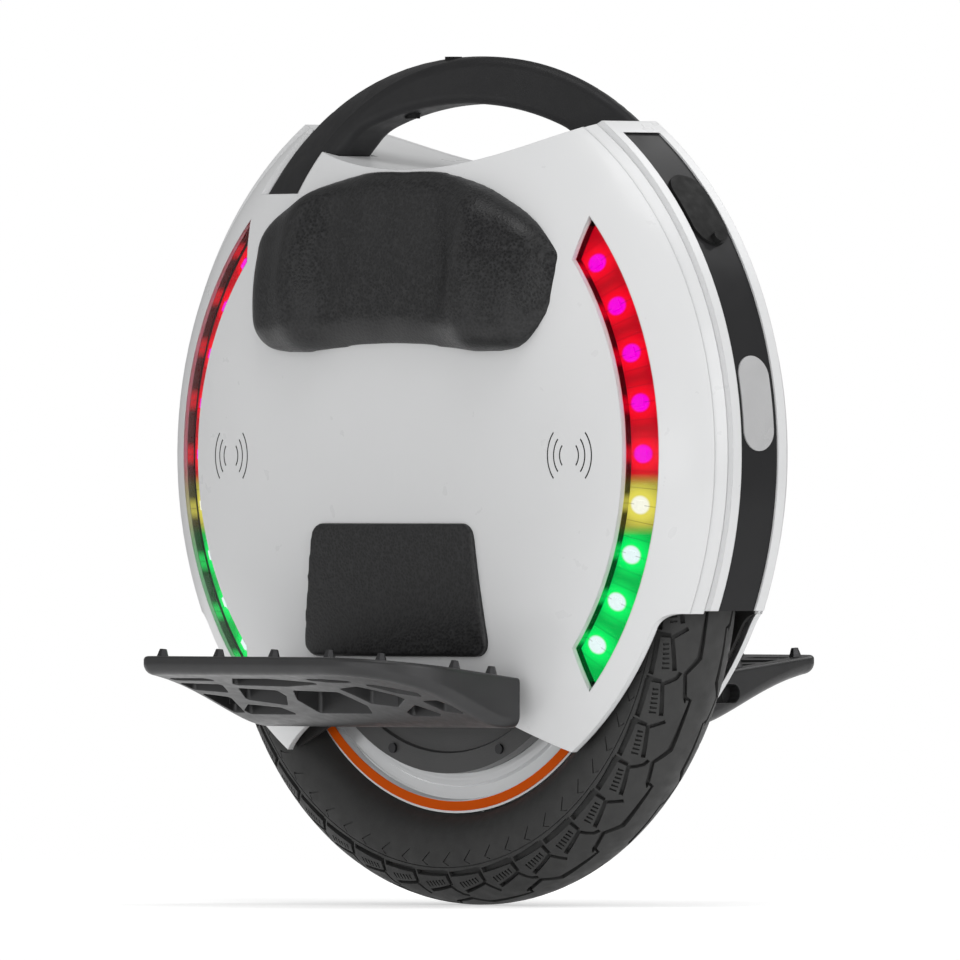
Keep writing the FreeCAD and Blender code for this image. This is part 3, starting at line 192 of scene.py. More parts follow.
tree, shader = start_finish("arch_plastic", (0.016, 0.016, 0.017), 0.6)
tint(tree, shader, noise(tree, 25, 4), (0.012, 0.012, 0.012), (0.022, 0.021, 0.02))
vary_roughness(tree, shader, noise(tree, 80, 3), 0.5, 0.7)
emboss(tree, shader, cells(tree, 1500), 0.08 * MM)

tree, shader = start_finish("rubber_black", (0.02, 0.02, 0.02), 0.6, Specular_IOR_Level=0.15)
tint(tree, shader, noise(tree, 120, 4), (0.009, 0.009, 0.009), (0.016, 0.016, 0.016))
vary_roughness(tree, shader, noise(tree, 200, 3), 0.52, 0.68)
emboss(tree, shader, noise(tree, 2200), 0.05 * MM)

# %% [markdown]
# ## Leather and tyre rubber
# The leg pads are faced with synthetic leather, whose grain is a net of small rounded cells with
# creases between them. A Voronoi pattern, bent by noise so that no cell is regular, gives that net.
# The tyre's rubber is duller, with dust caught in its pores.

# %% Leather and rubber finishes
GRAIN_SCALE = 620
GRAIN_SHIFT = 1.2 * MM
LEAST_SHADE = 0.4
tree, shader = start_finish("pad_leather", (0.022, 0.022, 0.023), 0.45, Specular_IOR_Level=0.4)
wobble = add_node(tree, "TexNoise", {"Vector": place_of(tree), "Scale": 600.0, "Detail": 2.0})
shift_inputs = {0: wobble.outputs["Color"], 1: (GRAIN_SHIFT,) * 3}
shift = add_node(tree, "VectorMath", shift_inputs, operation="MULTIPLY")
grain_place = add_node(tree, "VectorMath", {0: place_of(tree), 1: shift.outputs[0]}).outputs[0]
net = spread(tree, cells(tree, GRAIN_SCALE, grain_place), 0, 1, 0.2, 0.75)
worn = spread(tree, noise(tree, 300, 4), 0, 1, 0.38, 0.66)
wear = calc(tree, "ADD", calc(tree, "MULTIPLY", worn, 1 - LEAST_SHADE), LEAST_SHADE)
shade = calc(tree, "MULTIPLY", net, wear)
tint(tree, shader, shade, (0.006, 0.006, 0.0065), (0.026, 0.026, 0.027))
tree.links.new(spread(tree, shade, 0.34, 0.55, 0, 1), shader.inputs["Roughness"])
emboss(tree, shader, calc(tree, "MULTIPLY", net, -1.0), 0.07 * MM)

tree, shader = start_finish("tyre_rubber", (0.026, 0.026, 0.026), 0.6, Specular_IOR_Level=0.3)
tint(tree, shader, noise(tree, 60, 6), (0.034, 0.034, 0.034), (0.048, 0.048, 0.047))
vary_roughness(tree, shader, noise(tree, 150, 4), 0.5, 0.7)
emboss(tree, shader, noise(tree, 1600, 3), 0.08 * MM)

# %% [markdown]
# ## Metals and paint
# The rim is turned aluminium. A lathe leaves fine rings round the axle, so its pattern reads only the
# distance from the axle, not the place along the ring. Pedals are die-cast alloy under satin black
# paint, which keeps a trace of the casting's grain. The rest are plain machined or painted parts.

# %% Metal and paint finishes


def axle_distance(tree):
    """Distance from the wheel's axle as a vector, so that a noise on it makes rings."""
    middle = add_node(tree, "VectorMath", {0: place_of(tree), 1: (0, 0, AXLE_Z)}, operation="SUBTRACT")
    flat = add_node(tree, "VectorMath", {0: middle.outputs[0], 1: (1, 0, 1)}, operation="MULTIPLY")
    length = add_node(tree, "VectorMath", {0: flat.outputs[0]}, operation="LENGTH").outputs["Value"]
    return add_node(tree, "CombineXYZ", {"X": length}).outputs[0]


tree, shader = start_finish("rim_silver", (0.82, 0.83, 0.84), 0.25, Metallic=0.55)
rings = noise(tree, 900, 3, axle_distance(tree))
tint(tree, shader, noise(tree, 20, 3), (0.78, 0.79, 0.8), (0.86, 0.87, 0.88))
vary_roughness(tree, shader, rings, 0.12, 0.24)
emboss(tree, shader, rings, 0.006 * MM)

tree, shader = start_finish("stripe_orange", (0.74, 0.1, 0.002), 0.42, Specular_IOR_Level=0.05)
tint(tree, shader, noise(tree, 50, 4), (0.69, 0.09, 0.001), (0.78, 0.11, 0.003))
vary_roughness(tree, shader, noise(tree, 300, 2), 0.36, 0.48)

tree, shader = start_finish("motor_black", (0.02, 0.02, 0.021), 0.45, Specular_IOR_Level=0.4)
tint(tree, shader, noise(tree, 40, 5), (0.066, 0.066, 0.067), (0.088, 0.088, 0.088))
vary_roughness(tree, shader, noise(tree, 500, 3, axle_distance(tree)), 0.36, 0.55)
emboss(tree, shader, noise(tree, 1200, 2), 0.06 * MM)

tree, shader = start_finish("pedal_alloy", (0.045, 0.045, 0.046), 0.36, Metallic=0.5)
tint(tree, shader, noise(tree, 60, 5), (0.039, 0.039, 0.04), (0.05, 0.05, 0.051))
vary_roughness(tree, shader, noise(tree, 180, 4), 0.32, 0.42)
emboss(tree, shader, noise(tree, 1500, 3), 0.012 * MM, SOFT_EDGE)

PLAIN_METALS = {
    "steel": ((0.3, 0.3, 0.31), 0.32),
    "dark_steel": ((0.06, 0.06, 0.062), 0.4),
    "copper": ((0.7, 0.29, 0.14), 0.35),
    "alloy": ((0.6, 0.61, 0.62), 0.38),
}
for slot, (colour, rough) in PLAIN_METALS.items():
    tree, shader = start_finish(slot, colour, rough, Metallic=1.0)
    tint(tree, shader, noise(tree, 80, 4), [0.85 * c for c in colour], [min(1, 1.1 * c) for c in colour])
    vary_roughness(tree, shader, noise(tree, 400, 4), rough - 0.06, rough + 0.08)
    emboss(tree, shader, noise(tree, 1800, 2), 0.03 * MM)

PLAIN_COATS = {"board": ((0.008, 0.07, 0.035), 0.35), "battery_wrap": ((0.02, 0.06, 0.18), 0.3)}
for slot, (colour, rough) in PLAIN_COATS.items():
    tree, shader = start_finish(slot, colour, rough)
    tint(tree, shader, cells(tree, 160), [0.7 * c for c in colour], [1.3 * c for c in colour])
    vary_roughness(tree, shader, noise(tree, 200, 3), rough - 0.08, rough + 0.1)
    emboss(tree, shader, cells(tree, 300), 0.05 * MM)

# %% [markdown]
# ## Lights
# Each side carries two curved windows with nine small lights behind a clear lens: five red, one
# yellow, three green, from the top down. The colour therefore depends only on height. The tray behind
# the lights is dark, and the light that the lamps throw onto it is painted into its emission: a
# painted pool of light on its floor round each lamp, a round fall-off from the nearest lamp worked
# out from the angle about the dome's axis, with the lamp's bright core painted at its middle, and a
# fainter painted light on its walls beside each lamp. Thin dark ribs divide that painted light. Each
# painted light below is a near and a far strength, and the two distances between which it falls.

# %% Light finishes
LIGHT_R = 163.6 * MM
LIGHT_PITCH = radians(9.35)
LIGHTS_EACH_WAY = 4
YELLOW_TOP = DOME_Z + LIGHT_R * sin(-0.5 * LIGHT_PITCH)
YELLOW_LOW = DOME_Z + LIGHT_R * sin(-1.5 * LIGHT_PITCH)
BAND_LOW, BAND_HIGH = DOME_Z - LIGHT_R, DOME_Z + LIGHT_R
GLOW_COLOURS = ((0.0, 0.95, 0.14), (0.8, 0.72, 0.1), (1.0, 0.0, 0.015))
CORE_COLOURS = ((0.85, 1.0, 1.0), (1.0, 1.0, 0.85), (1.0, 0.0, 0.75))
COLOUR_BLEND = 0.008
CORE_R = 4.7 * MM
CORE_BLUR = 0.6 * MM
# Painted lamp light on the tray, on its floor round each lamp and on its walls beside it: a strength
# near and far, and the distances between which it falls.
FLOOR_PAINTED_LIGHT = (1.0, 0.52, 6.5 * MM, 13 * MM)
WALL_PAINTED_LIGHT = (0.6, 0.06, 2 * MM, 6 * MM)
FLOOR_TURN = (0.45, 0.6)
RIBS_PER_LIGHT = 3.0
RIB_SHADE = (0.55, 1.0, 0.012, 0.03)
OUTER_WALL_TURN = 8e-4


def colour_by_height(tree, colours):
    """Green, yellow and red, one above the other, with short blends between them."""
    z = add_node(tree, "SeparateXYZ", {0: place_of(tree)}).outputs["Z"]
    share = spread(tree, z, 0, 1, BAND_LOW, BAND_HIGH)
    ramp = add_node(tree, "ValToRGB", {"Fac": share})
    edges = [(edge - BAND_LOW) / (BAND_HIGH - BAND_LOW) for edge in (YELLOW_LOW, YELLOW_TOP)]
    stops = []
    for i, edge in enumerate(edges):
        stops += [(edge - COLOUR_BLEND, i), (edge + COLOUR_BLEND, i + 1)]
    points = ramp.color_ramp.elements
    while len(points) < len(stops):
        points.new(0.5)
    for point, (position, which) in zip(points, stops):
        point.position = position
        point.color = (*colours[which], 1)
    return ramp.outputs["Color"]


def straight(tree, first, second):
    """Straight distance over two legs at a right angle."""
    squares = [calc(tree, "POWER", leg, 2.0) for leg in (first, second)]
    return calc(tree, "SQRT", calc(tree, "ADD", *squares))


def light_places(tree):
    """Turn in light pitches, and the nearest light's distance along, across and straight."""
    x, _, z = add_node(tree, "SeparateXYZ", {0: place_of(tree)}).outputs
    across = calc(tree, "ABSOLUTE", x)
    up = calc(tree, "SUBTRACT", z, DOME_Z)
    turn = calc(tree, "DIVIDE", calc(tree, "ARCTAN2", up, across), LIGHT_PITCH)
    nearest = calc(tree, "ROUND", turn)
    held = calc(tree, "MAXIMUM", calc(tree, "MINIMUM", nearest, LIGHTS_EACH_WAY), -LIGHTS_EACH_WAY)
    along = calc(tree, "MULTIPLY", calc(tree, "SUBTRACT", turn, held), LIGHT_PITCH * LIGHT_R)
    off = calc(tree, "SUBTRACT", straight(tree, across, up), LIGHT_R)
    return turn, calc(tree, "ABSOLUTE", along), off, straight(tree, along, off)


def light_colour(tree, shader, distance):
    """A sharp core within a softer halo, both coloured by height; on the light tray both are painted
    light.
    """
    core = spread(tree, distance, 1, 0, CORE_R - CORE_BLUR, CORE_R + CORE_BLUR)
    outer = colour_by_height(tree, GLOW_COLOURS)
    inner = colour_by_height(tree, CORE_COLOURS)
    mix = add_node(tree, "Mix", {"Factor": core, 6: outer, 7: inner}, data_type="RGBA")
    tree.links.new(mix.outputs[2], shader.inputs["Emission Color"])


# The tray is no lamp: its emission is painted light, the lamps' light on its floor and walls, with a
# painted bright core round each lamp.
tree, shader = start_finish("light_tray", (0.003, 0.003, 0.003), 0.3, Specular_IOR_Level=0.03)
turn, along, off, distance = light_places(tree)
light_colour(tree, shader, distance)
normal = add_node(tree, "NewGeometry").outputs["Normal"]
side = calc(tree, "SIGN", add_node(tree, "SeparateXYZ", {0: place_of(tree)}).outputs["Y"])
facing = calc(tree, "MULTIPLY", add_node(tree, "SeparateXYZ", {0: normal}).outputs["Y"], side)
on_floor = spread(tree, facing, 0, 1, *FLOOR_TURN)
in_front = spread(tree, facing, 0, 1, -FLOOR_TURN[1], -FLOOR_TURN[0])
# The tray's outer walls turn away from the circle of lights, so the painted light leaves them dark.
spoke = add_node(tree, "VectorMath", {0: place_of(tree), 1: (0, 0, DOME_Z)}, operation="SUBTRACT")
spoke = add_node(tree, "VectorMath", {0: spoke.outputs[0], 1: (1, 0, 1)}, operation="MULTIPLY")
turned_out = add_node(tree, "VectorMath", {0: spoke.outputs[0], 1: normal}, operation="DOT_PRODUCT")
away = calc(tree, "MULTIPLY", turned_out.outputs["Value"], off)
inside = calc(tree, "LESS_THAN", away, OUTER_WALL_TURN)
# Painted pools of lamp light on the tray's floor, and a fainter painted light on its walls.
floor_painted_light = spread(tree, distance, *FLOOR_PAINTED_LIGHT)
wall_painted_light = spread(tree, along, *WALL_PAINTED_LIGHT)
rib_share = calc(tree, "FRACT", calc(tree, "ADD", calc(tree, "MULTIPLY", turn, RIBS_PER_LIGHT), 0.5))
rib_distance = calc(tree, "ABSOLUTE", calc(tree, "SUBTRACT", rib_share, 0.5))
rib = spread(tree, rib_distance, *RIB_SHADE)
mixed = add_node(tree, "Mix", {"Factor": on_floor, 2: wall_painted_light, 3: floor_painted_light}).outputs[0]
ribbed = calc(tree, "MULTIPLY", mixed, rib)
# The painted lamp light, only on faces that look outwards and towards the circle of lamps.
painted_led_light = calc(tree, "MULTIPLY", ribbed, calc(tree, "MULTIPLY", in_front, inside))
tree.links.new(painted_led_light, shader.inputs["Emission Strength"])
vary_roughness(tree, shader, noise(tree, 300, 3), 0.25, 0.4)

tree, shader = start_finish("light_chip", (0.003, 0.003, 0.003), 0.3, Specular_IOR_Level=0.03)
light_colour(tree, shader, light_places(tree)[3])
tree.links.new(spread(tree, noise(tree, 500), 0.96, 1.04), shader.inputs["Emission Strength"])

tree, shader = start_finish(
    "light_lens", (0.93, 0.93, 0.93), 0.05, Transmission_Weight=1.0, IOR=1.08, Specular_IOR_Level=0.1,
)
vary_roughness(tree, shader, noise(tree, 120, 3), 0.02, 0.08)

tree, shader = start_finish("lamp_lens", (0.5, 0.5, 0.505), 0.22, Coat_Weight=0.4, Coat_Roughness=0.05)
tint(tree, shader, noise(tree, 60, 3), (0.45, 0.45, 0.455), (0.53, 0.53, 0.535))
vary_roughness(tree, shader, noise(tree, 90, 3), 0.18, 0.3)
emboss(tree, shader, cells(tree, 900), 0.05 * MM)

# %% Finishes onto the frame
for node, piece in nodes.items():
    piece.data.materials.clear()
    piece.data.materials.append(finishes[slot_of[node]])
print("finished", len(nodes), "nodes with", len(finishes), "finishes")

# %% [markdown]
# ## Making a piece
# Each new piece starts as a bmesh and ends the same way: it becomes an object at the origin, takes
# its finish, and rides on one of the frame's bodies. Faces are shaded smooth except across edges that
# turn sharply.

# %% Piece helper
SHARP_TURN = radians(32)


def make_piece(bm, name, body, slot, sharp=SHARP_TURN):
    """A bmesh turned into a finished piece that rides on a body."""
    mesh = bpy.data.meshes.new(name)
    bm.to_mesh(mesh)
    bm.free()
    mesh.shade_smooth()
    mesh.set_sharp_from_angle(angle=sharp)
    mesh.materials.append(finishes[slot])
    piece = bpy.data.objects.new(name, mesh)
    bpy.context.scene.collection.objects.link(piece)
    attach(piece, body)
    return piece


# %% [markdown]
# ## Tyre
# The tread repeats 21 times round the tyre: two blunt shoulder blocks with sipes, one long zigzag
# groove, a thin line round the sidewall and three small chevrons beside it. Cutting grooves in a
# round tyre is hard to steer, so one repeat is cut flat, in millimetres, as a strip of rubber laid on
# a table, and then bent: its length goes round the axle and its width round the tyre's own section.
# Copies of the bent strip close the ring. Each kind of groove is one function, given the place where
# a block starts and whether that block is the hooked one of its pair.

# %% Flat strip with its grooves
REPEATS = 21
PITCH = 26.0
STRIP_LENGTH = 2 * PITCH
SECTION_WIDTH_R = 28.9
SECTION_HEIGHT_R = 28.3
SECTION_ARC_R = 28.6
BEAD_ANGLE = radians(134)
STRIP_HALF = SECTION_ARC_R * BEAD_ANGLE
STRIP_THICK = 6.0
BLOCK_DEPTH = 2.8
SIPE_DEPTH = 1.4
MARK_DEPTH = 0.7
SIDE_LINE_PLACE = -36.2


def groove(bm, points, widths, depth):
    """A closed cutter along points of the flat strip, with a width at each point."""
    sides = []
    for i, (u, v) in enumerate(points):
        before = Vector(points[max(0, i - 1)])
        after = Vector(points[min(len(points) - 1, i + 1)])
        along = (after - before).normalized()
        half = widths[min(i, len(widths) - 1)] / 2
        aside_u = -along.y * half
        aside_v = along.x * half
        sides.append(((u + aside_u, v + aside_v), (u - aside_u, v - aside_v)))
    outline = [left for left, _ in sides] + [right for _, right in reversed(sides)]
    face = bm.faces.new([bm.verts.new((u, v, -depth)) for u, v in outline])
    raised = bmesh.ops.extrude_face_region(bm, geom=[face])["geom"]
    top = [part for part in raised if isinstance(part, bmesh.types.BMVert)]
    bmesh.ops.translate(bm, verts=top, vec=(0, 0, depth + 1))


def block_edge(bm, start, hooked):
    groove(bm, [(start + 0.5, -33.0), (start + 0.9 * PITCH, -32.3)], [3.6, 3.0], BLOCK_DEPTH)


def block_ends(bm, start, hooked):
    groove(bm, [(start + 0.2, -34.2), (start - 0.4, -25.6)], [3.4, 2.4], BLOCK_DEPTH)


def block_inner(bm, start, hooked):
    groove(bm, [(start, -25.0), (start + 0.7 * PITCH, -20.4)], [2.0, 2.4], BLOCK_DEPTH)


def block_branch(bm, start, hooked):
    if hooked:
        points = [(start + 0.6, -24.6), (start - 1.6, -21.4), (start - 4.2, -18.4), (start - 7.6, -17.0)]
    else:
        points = [(start + 0.6, -24.8), (start - 5.4, -17.2)]
    groove(bm, points, [2.1], BLOCK_DEPTH)


def block_sipes(bm, start, hooked):
    for i in range(6):
        u = start + (0.2 + 0.1 * i) * PITCH
        groove(bm, [(u, -29.0 + 0.36 * i), (u - 0.9, -26.0 + 0.52 * i)], [1.5, 0.8], SIPE_DEPTH)


def zigzag_slant(bm, start, hooked):
    if hooked:
        points = [(start - 7.5, -14.6), (start + 5.2, -11.3), (start + 8.4, -10.2)]
        groove(bm, points, [2.2, 2.4, 0.6], BLOCK_DEPTH)


def zigzag_run(bm, start, hooked):
    if hooked:
        points = [(start + 6.0, -7.6), (start + 20.0, -8.2), (start + 36.2, -8.4)]
        groove(bm, points, [1.5, 2.4, 3.4], BLOCK_DEPTH)


def zigzag_step(bm, start, hooked):
    if hooked:
        groove(bm, [(start + 35.4, -8.2), (start + STRIP_LENGTH - 7.0, -14.6)], [3.2, 2.2], BLOCK_DEPTH)


def zigzag_notch(bm, start, hooked):
    if hooked:
        groove(bm, [(start + 5.4, -11.0), (start + 6.6, -7.4)], [2.4, 1.0], BLOCK_DEPTH)


def chevrons(bm, start, hooked):
    if hooked:
        for i in range(3):
            u = start + i * STRIP_LENGTH / 3
            groove(bm, [(u - 6.2, -44.4), (u, -39.2), (u - 3.8, -37.2)], [0.5, 1.1, 0.6], MARK_DEPTH)


def sidewall_line(bm, start, hooked):
    if start == 0:
        ends = [(-STRIP_LENGTH, SIDE_LINE_PLACE), (2 * STRIP_LENGTH, SIDE_LINE_PLACE)]
        groove(bm, ends, [0.5], MARK_DEPTH)


GROOVE_KINDS = (
    block_edge, block_ends, block_inner, block_branch, block_sipes, zigzag_slant,
    zigzag_run, zigzag_step, zigzag_notch, chevrons, sidewall_line,
)


def cutter_of(kind):
    """All cutters of one kind that reach into the strip, on both halves of the tread."""
    bm = bmesh.new()
    for i in range(-3, 5):
        kind(bm, i * PITCH, i % 2 == 0)
    right = bm.verts[:] + bm.edges[:] + bm.faces[:]
    copy = bmesh.ops.duplicate(bm, geom=right)["geom"]
    left = [part for part in copy if isinstance(part, bmesh.types.BMVert)]
    bmesh.ops.scale(bm, verts=left, vec=(1, -1, 1))
    bmesh.ops.translate(bm, verts=left, vec=(PITCH / 2, 0, 0))
    bmesh.ops.recalc_face_normals(bm, faces=bm.faces[:])
    mesh = bpy.data.meshes.new(kind.__name__)
    bm.to_mesh(mesh)
    bm.free()
    piece = bpy.data.objects.new(kind.__name__, mesh)
    bpy.context.scene.collection.objects.link(piece)
    return piece


bm = bmesh.new()
middle = Matrix.Translation((STRIP_LENGTH / 2, 0, -STRIP_THICK / 2))
size = Matrix.Diagonal((STRIP_LENGTH, 2 * STRIP_HALF, STRIP_THICK, 1))
bmesh.ops.create_cube(bm, size=1, matrix=middle @ size)
mesh = bpy.data.meshes.new("tread_strip")
bm.to_mesh(mesh)
bm.free()
strip = bpy.data.objects.new("tread_strip", mesh)
bpy.context.scene.collection.objects.link(strip)
cutters = [cutter_of(kind) for kind in GROOVE_KINDS]
for cutter in cutters:
    cut = strip.modifiers.new(cutter.name, "BOOLEAN")
    cut.operation = "DIFFERENCE"
    cut.solver = "EXACT"
    cut.object = cutter
bpy.context.view_layer.update()
cut_mesh = bpy.data.meshes.new_from_object(strip.evaluated_get(bpy.context.evaluated_depsgraph_get()))
for spare in [strip, *cutters]:
    bpy.data.objects.remove(spare)
print("flat strip has", len(cut_mesh.polygons), "faces")

# %% [markdown]
# The strip's underside and ends are cut away, and straight cuts across it give the bend enough
# points to stay round. Bending is one formula per point: angle round the axle from the length, angle
# round the section from the width, and the groove's depth along the section's own normal.

# %% Bend the strip and close the ring
LENGTH_CUTS = 8
WIDTH_STEP = 3.2
BEAD_PULL = 3.6
PULL_START = radians(110)
TREAD_SHIFT = 0.45 * PITCH
FLAT_REACH = 1e-3
CUT_REACH = 1e-4
TREAD_SHARP_TURN = radians(28)


def bend(point):
    """A flat point, in millimetres, carried onto the round tyre, in metres."""
    turn = -(point.x + TREAD_SHIFT) / STRIP_LENGTH * 2 * pi / REPEATS
    lean = point.y / SECTION_ARC_R
    pull = BEAD_PULL * max(0, (abs(lean) - PULL_START) / (BEAD_ANGLE - PULL_START)) ** 2
    out = (SECTION_WIDTH_R + point.z) * sin(lean) - pull * (1 if lean > 0 else -1)
    r = TYRE_R / MM - SECTION_HEIGHT_R + (SECTION_HEIGHT_R + point.z) * cos(lean)
    return Vector((r * cos(turn) * MM, out * MM, AXLE_Z + r * sin(turn) * MM))


bm = bmesh.new()
bm.from_mesh(cut_mesh)
bpy.data.meshes.remove(cut_mesh)
waste = []
for face in bm.faces:
    centre = face.calc_center_median()
    end_distance = min(abs(centre.x), abs(centre.x - STRIP_LENGTH))
    at_end = end_distance < FLAT_REACH and abs(face.normal.x) > 0.9
    at_side = abs(abs(centre.y) - STRIP_HALF) < FLAT_REACH
    if centre.z < -STRIP_THICK + FLAT_REACH or at_end or at_side:
        waste.append(face)
bmesh.ops.delete(bm, geom=waste, context="FACES")
planes = [((STRIP_LENGTH * i / LENGTH_CUTS, 0, 0), (1, 0, 0)) for i in range(1, LENGTH_CUTS)]
width_cuts = int(2 * STRIP_HALF / WIDTH_STEP)
planes += [((0, STRIP_HALF * (2 * i / width_cuts - 1), 0), (0, 1, 0)) for i in range(1, width_cuts)]
for place, normal in planes:
    geometry = bm.verts[:] + bm.edges[:] + bm.faces[:]
    bmesh.ops.bisect_plane(bm, geom=geometry, dist=CUT_REACH, plane_co=place, plane_no=normal)
bmesh.ops.triangulate(bm, faces=[face for face in bm.faces if len(face.verts) > 4])
for vert in bm.verts:
    vert.co = bend(vert.co)
bmesh.ops.spin(
    bm, geom=bm.verts[:] + bm.edges[:] + bm.faces[:], cent=(0, 0, AXLE_Z), axis=(0, 1, 0),
    angle=2 * pi, steps=REPEATS, use_duplicate=True,
)
bmesh.ops.remove_doubles(bm, verts=bm.verts[:], dist=MERGE_REACH)
beads = [edge for edge in bm.edges if edge.is_boundary]
bmesh.ops.bridge_loops(bm, edges=beads)
bmesh.ops.recalc_face_normals(bm, faces=bm.faces[:])
open_edges = sum(edge.is_boundary for edge in bm.edges)
print("tyre ring has", len(bm.faces), "faces and", open_edges, "open edges")
tyre = make_piece(bm, "treaded_tyre", "wheel", "tyre_rubber", TREAD_SHARP_TURN)
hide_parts("tyre")

# %% [markdown]
# ## Printed sound marks
# Beside each speaker the cover carries a small printed mark, three arcs opening each way. Spinning a
# short edge round the mark's middle draws each arc as a flat ribbon, which is then laid on the dome
# and given the thickness of ink.

# %% Sound marks
MARK_ACROSS = 125.6 * MM
MARK_Z = DOME_Z - 0.8 * MM
MARK_RADII = (7.4, 12.2, 17.2)
MARK_NARROW = 0.82
MARK_LINE = 0.8 * MM
MARK_SPREAD = radians(44)
ARC_STEPS = 14
INK_THICK = 0.12 * MM


def sound_mark(bm, across, side):
    """Six ribbons about one place on a side cover."""
    for radius in MARK_RADII:
        for facing in (0, pi):
            first = facing - MARK_SPREAD
            ends = [bm.verts.new(((radius * MM + d) * cos(first), 0, (radius * MM + d) * sin(first)))
                    for d in (-MARK_LINE / 2, MARK_LINE / 2)]
            ribbon = bm.edges.new(ends)
            bmesh.ops.spin(bm, geom=[ribbon, *ends], cent=(0, 0, 0), axis=(0, -1, 0),
                           angle=2 * MARK_SPREAD, steps=ARC_STEPS)
    for vert in bm.verts:
        if not vert.tag:
            vert.co.x = across + MARK_NARROW * vert.co.x
            vert.co.z += MARK_Z
            vert.co.y = side * (dome_out(vert.co.x, vert.co.z) + INK_THICK / 2)
            vert.tag = True


for side, name in ((-1, "right_sound_marks"), (1, "left_sound_marks")):
    bm = bmesh.new()
    for across in (-MARK_ACROSS, MARK_ACROSS):
        sound_mark(bm, across, side)
    for face in bm.faces:
        face.normal_update()
        if face.normal.y * side < 0:
            face.normal_flip()
    bmesh.ops.solidify(bm, geom=bm.faces[:], thickness=INK_THICK)
    make_piece(bm, name, "chassis", "rubber_black")
print("sound marks printed on both covers")

# %% [markdown]
# ## Stop plates
# One end of each pedal has a recess that shows the hinge pin, and a web pocket runs into its floor. A
# small plate closes that corner, so that no daylight shows through. The left pedal is the right one
# after half a turn, so its plate sits at the opposite place.

# %% Stop plates
PLATE_SIZE = (0.7 * MM, 6.1 * MM, 10.8 * MM)
PLATE_PLACE = (-85.55 * MM, -97.55 * MM, 111 * MM)
for half_turn, name in ((1, "right"), (-1, "left")):
    bm = bmesh.new()
    place = Matrix.Translation((half_turn * PLATE_PLACE[0], half_turn * PLATE_PLACE[1], PLATE_PLACE[2]))
    bmesh.ops.create_cube(bm, size=1, matrix=place @ Matrix.Diagonal((*PLATE_SIZE, 1)))
    make_piece(bm, name + "_stop_plate", name + "_pedal_body", "pedal_alloy")

# %% [markdown]
# ## Leg pads
# The pads are foam under synthetic leather. The frame holds their moulded form, but a hard one: its
# faces meet in clean lines. A copy has its back sunk into the cover, so that its border stays whole,
# and is remeshed into an even skin. Then a short cloth simulation with a little pressure holds the
# skin near the cover and lets the rest settle and swell as stuffed leather does.

# %% Pad helper
PAD_STEPS = 14
BACK_REACH = 0.45 * MM
SINK = 3.5 * MM
SKIN_SMOOTHS = 3
SMOOTH_SHARE = 0.5
TENSION = 40
BENDING = 8
UPPER_PAD = {"voxel": 2.4 * MM, "pressure": 2.0, "cap": 0.8 * MM, "back_gap": 2.0 * MM}
LOWER_PAD = {"voxel": 1.3 * MM, "pressure": 0.5, "cap": 0.3 * MM, "back_gap": 1.0 * MM}


def lift(place):
    """Height of a place above its side cover's dome."""
    return abs(place.y) - dome_out(place.x, place.z)


def skin_of(node, voxel):
    """An even, closed copy of a node's solid, with its back sunk into the cover."""
    bm = bmesh.new()
    bm.from_mesh(nodes[node].data)
    bmesh.ops.remove_doubles(bm, verts=bm.verts[:], dist=MERGE_REACH)
    side = 1 if bm.verts[:][0].co.y > 0 else -1
    back = {
        face for face in bm.faces
        if face.normal.y * side < 0 and all(lift(vert.co) < BACK_REACH for vert in face.verts)
    }
    rim = [edge for edge in bm.edges if sum(face in back for face in edge.link_faces) == 1]
    bmesh.ops.split_edges(bm, edges=rim)
    for vert in {vert for face in back for vert in face.verts}:
        vert.co.y -= side * SINK
    bmesh.ops.bridge_loops(bm, edges=[edge for edge in bm.edges if edge.is_boundary])
    bmesh.ops.recalc_face_normals(bm, faces=bm.faces[:])
    mesh = bpy.data.meshes.new(node + "_skin")
    bm.to_mesh(mesh)
    bm.free()
    piece = bpy.data.objects.new(node + "_skin", mesh)
    bpy.context.scene.collection.objects.link(piece)
    remesh = piece.modifiers.new("even", "REMESH")
    remesh.mode = "VOXEL"
    remesh.voxel_size = voxel
    bpy.context.view_layer.update()
    even = bpy.data.meshes.new_from_object(piece.evaluated_get(bpy.context.evaluated_depsgraph_get()))
    bpy.data.objects.remove(piece)
    return even


def swell(mesh, hold, pressure, cap):
    """Cloth under pressure from inside: held points stay, and no point moves further than the cap."""
    piece = bpy.data.objects.new("swelling", mesh)
    bpy.context.scene.collection.objects.link(piece)
    start = [vert.co.copy() for vert in mesh.vertices]
    group = piece.vertex_groups.new(name="hold")
    for i, place in enumerate(start):
        group.add([i], hold(place), "REPLACE")
    cloth = piece.modifiers.new("cloth", "CLOTH")
    cloth.settings.vertex_group_mass = "hold"
    cloth.settings.use_pressure = True
    cloth.settings.uniform_pressure_force = pressure
    cloth.settings.tension_stiffness = TENSION
    cloth.settings.bending_stiffness = BENDING
    cloth.settings.effector_weights.gravity = 0
    cloth.point_cache.frame_end = PAD_STEPS
    scene = bpy.context.scene
    for step in range(1, PAD_STEPS + 1):
        scene.frame_set(step)
    bpy.context.view_layer.update()
    moved = bpy.data.meshes.new_from_object(piece.evaluated_get(bpy.context.evaluated_depsgraph_get()))
    for vert, place in zip(moved.vertices, start):
        shift = vert.co - place
        if shift.length > cap:
            vert.co = place + shift * (cap / shift.length)
    scene.frame_set(1)
    bpy.data.objects.remove(piece)
    return moved


def frame_body(node):
    bodies = frame["record"]["behaviour"]["bodies"]
    return next(body for body, members in bodies.items() if node in members)


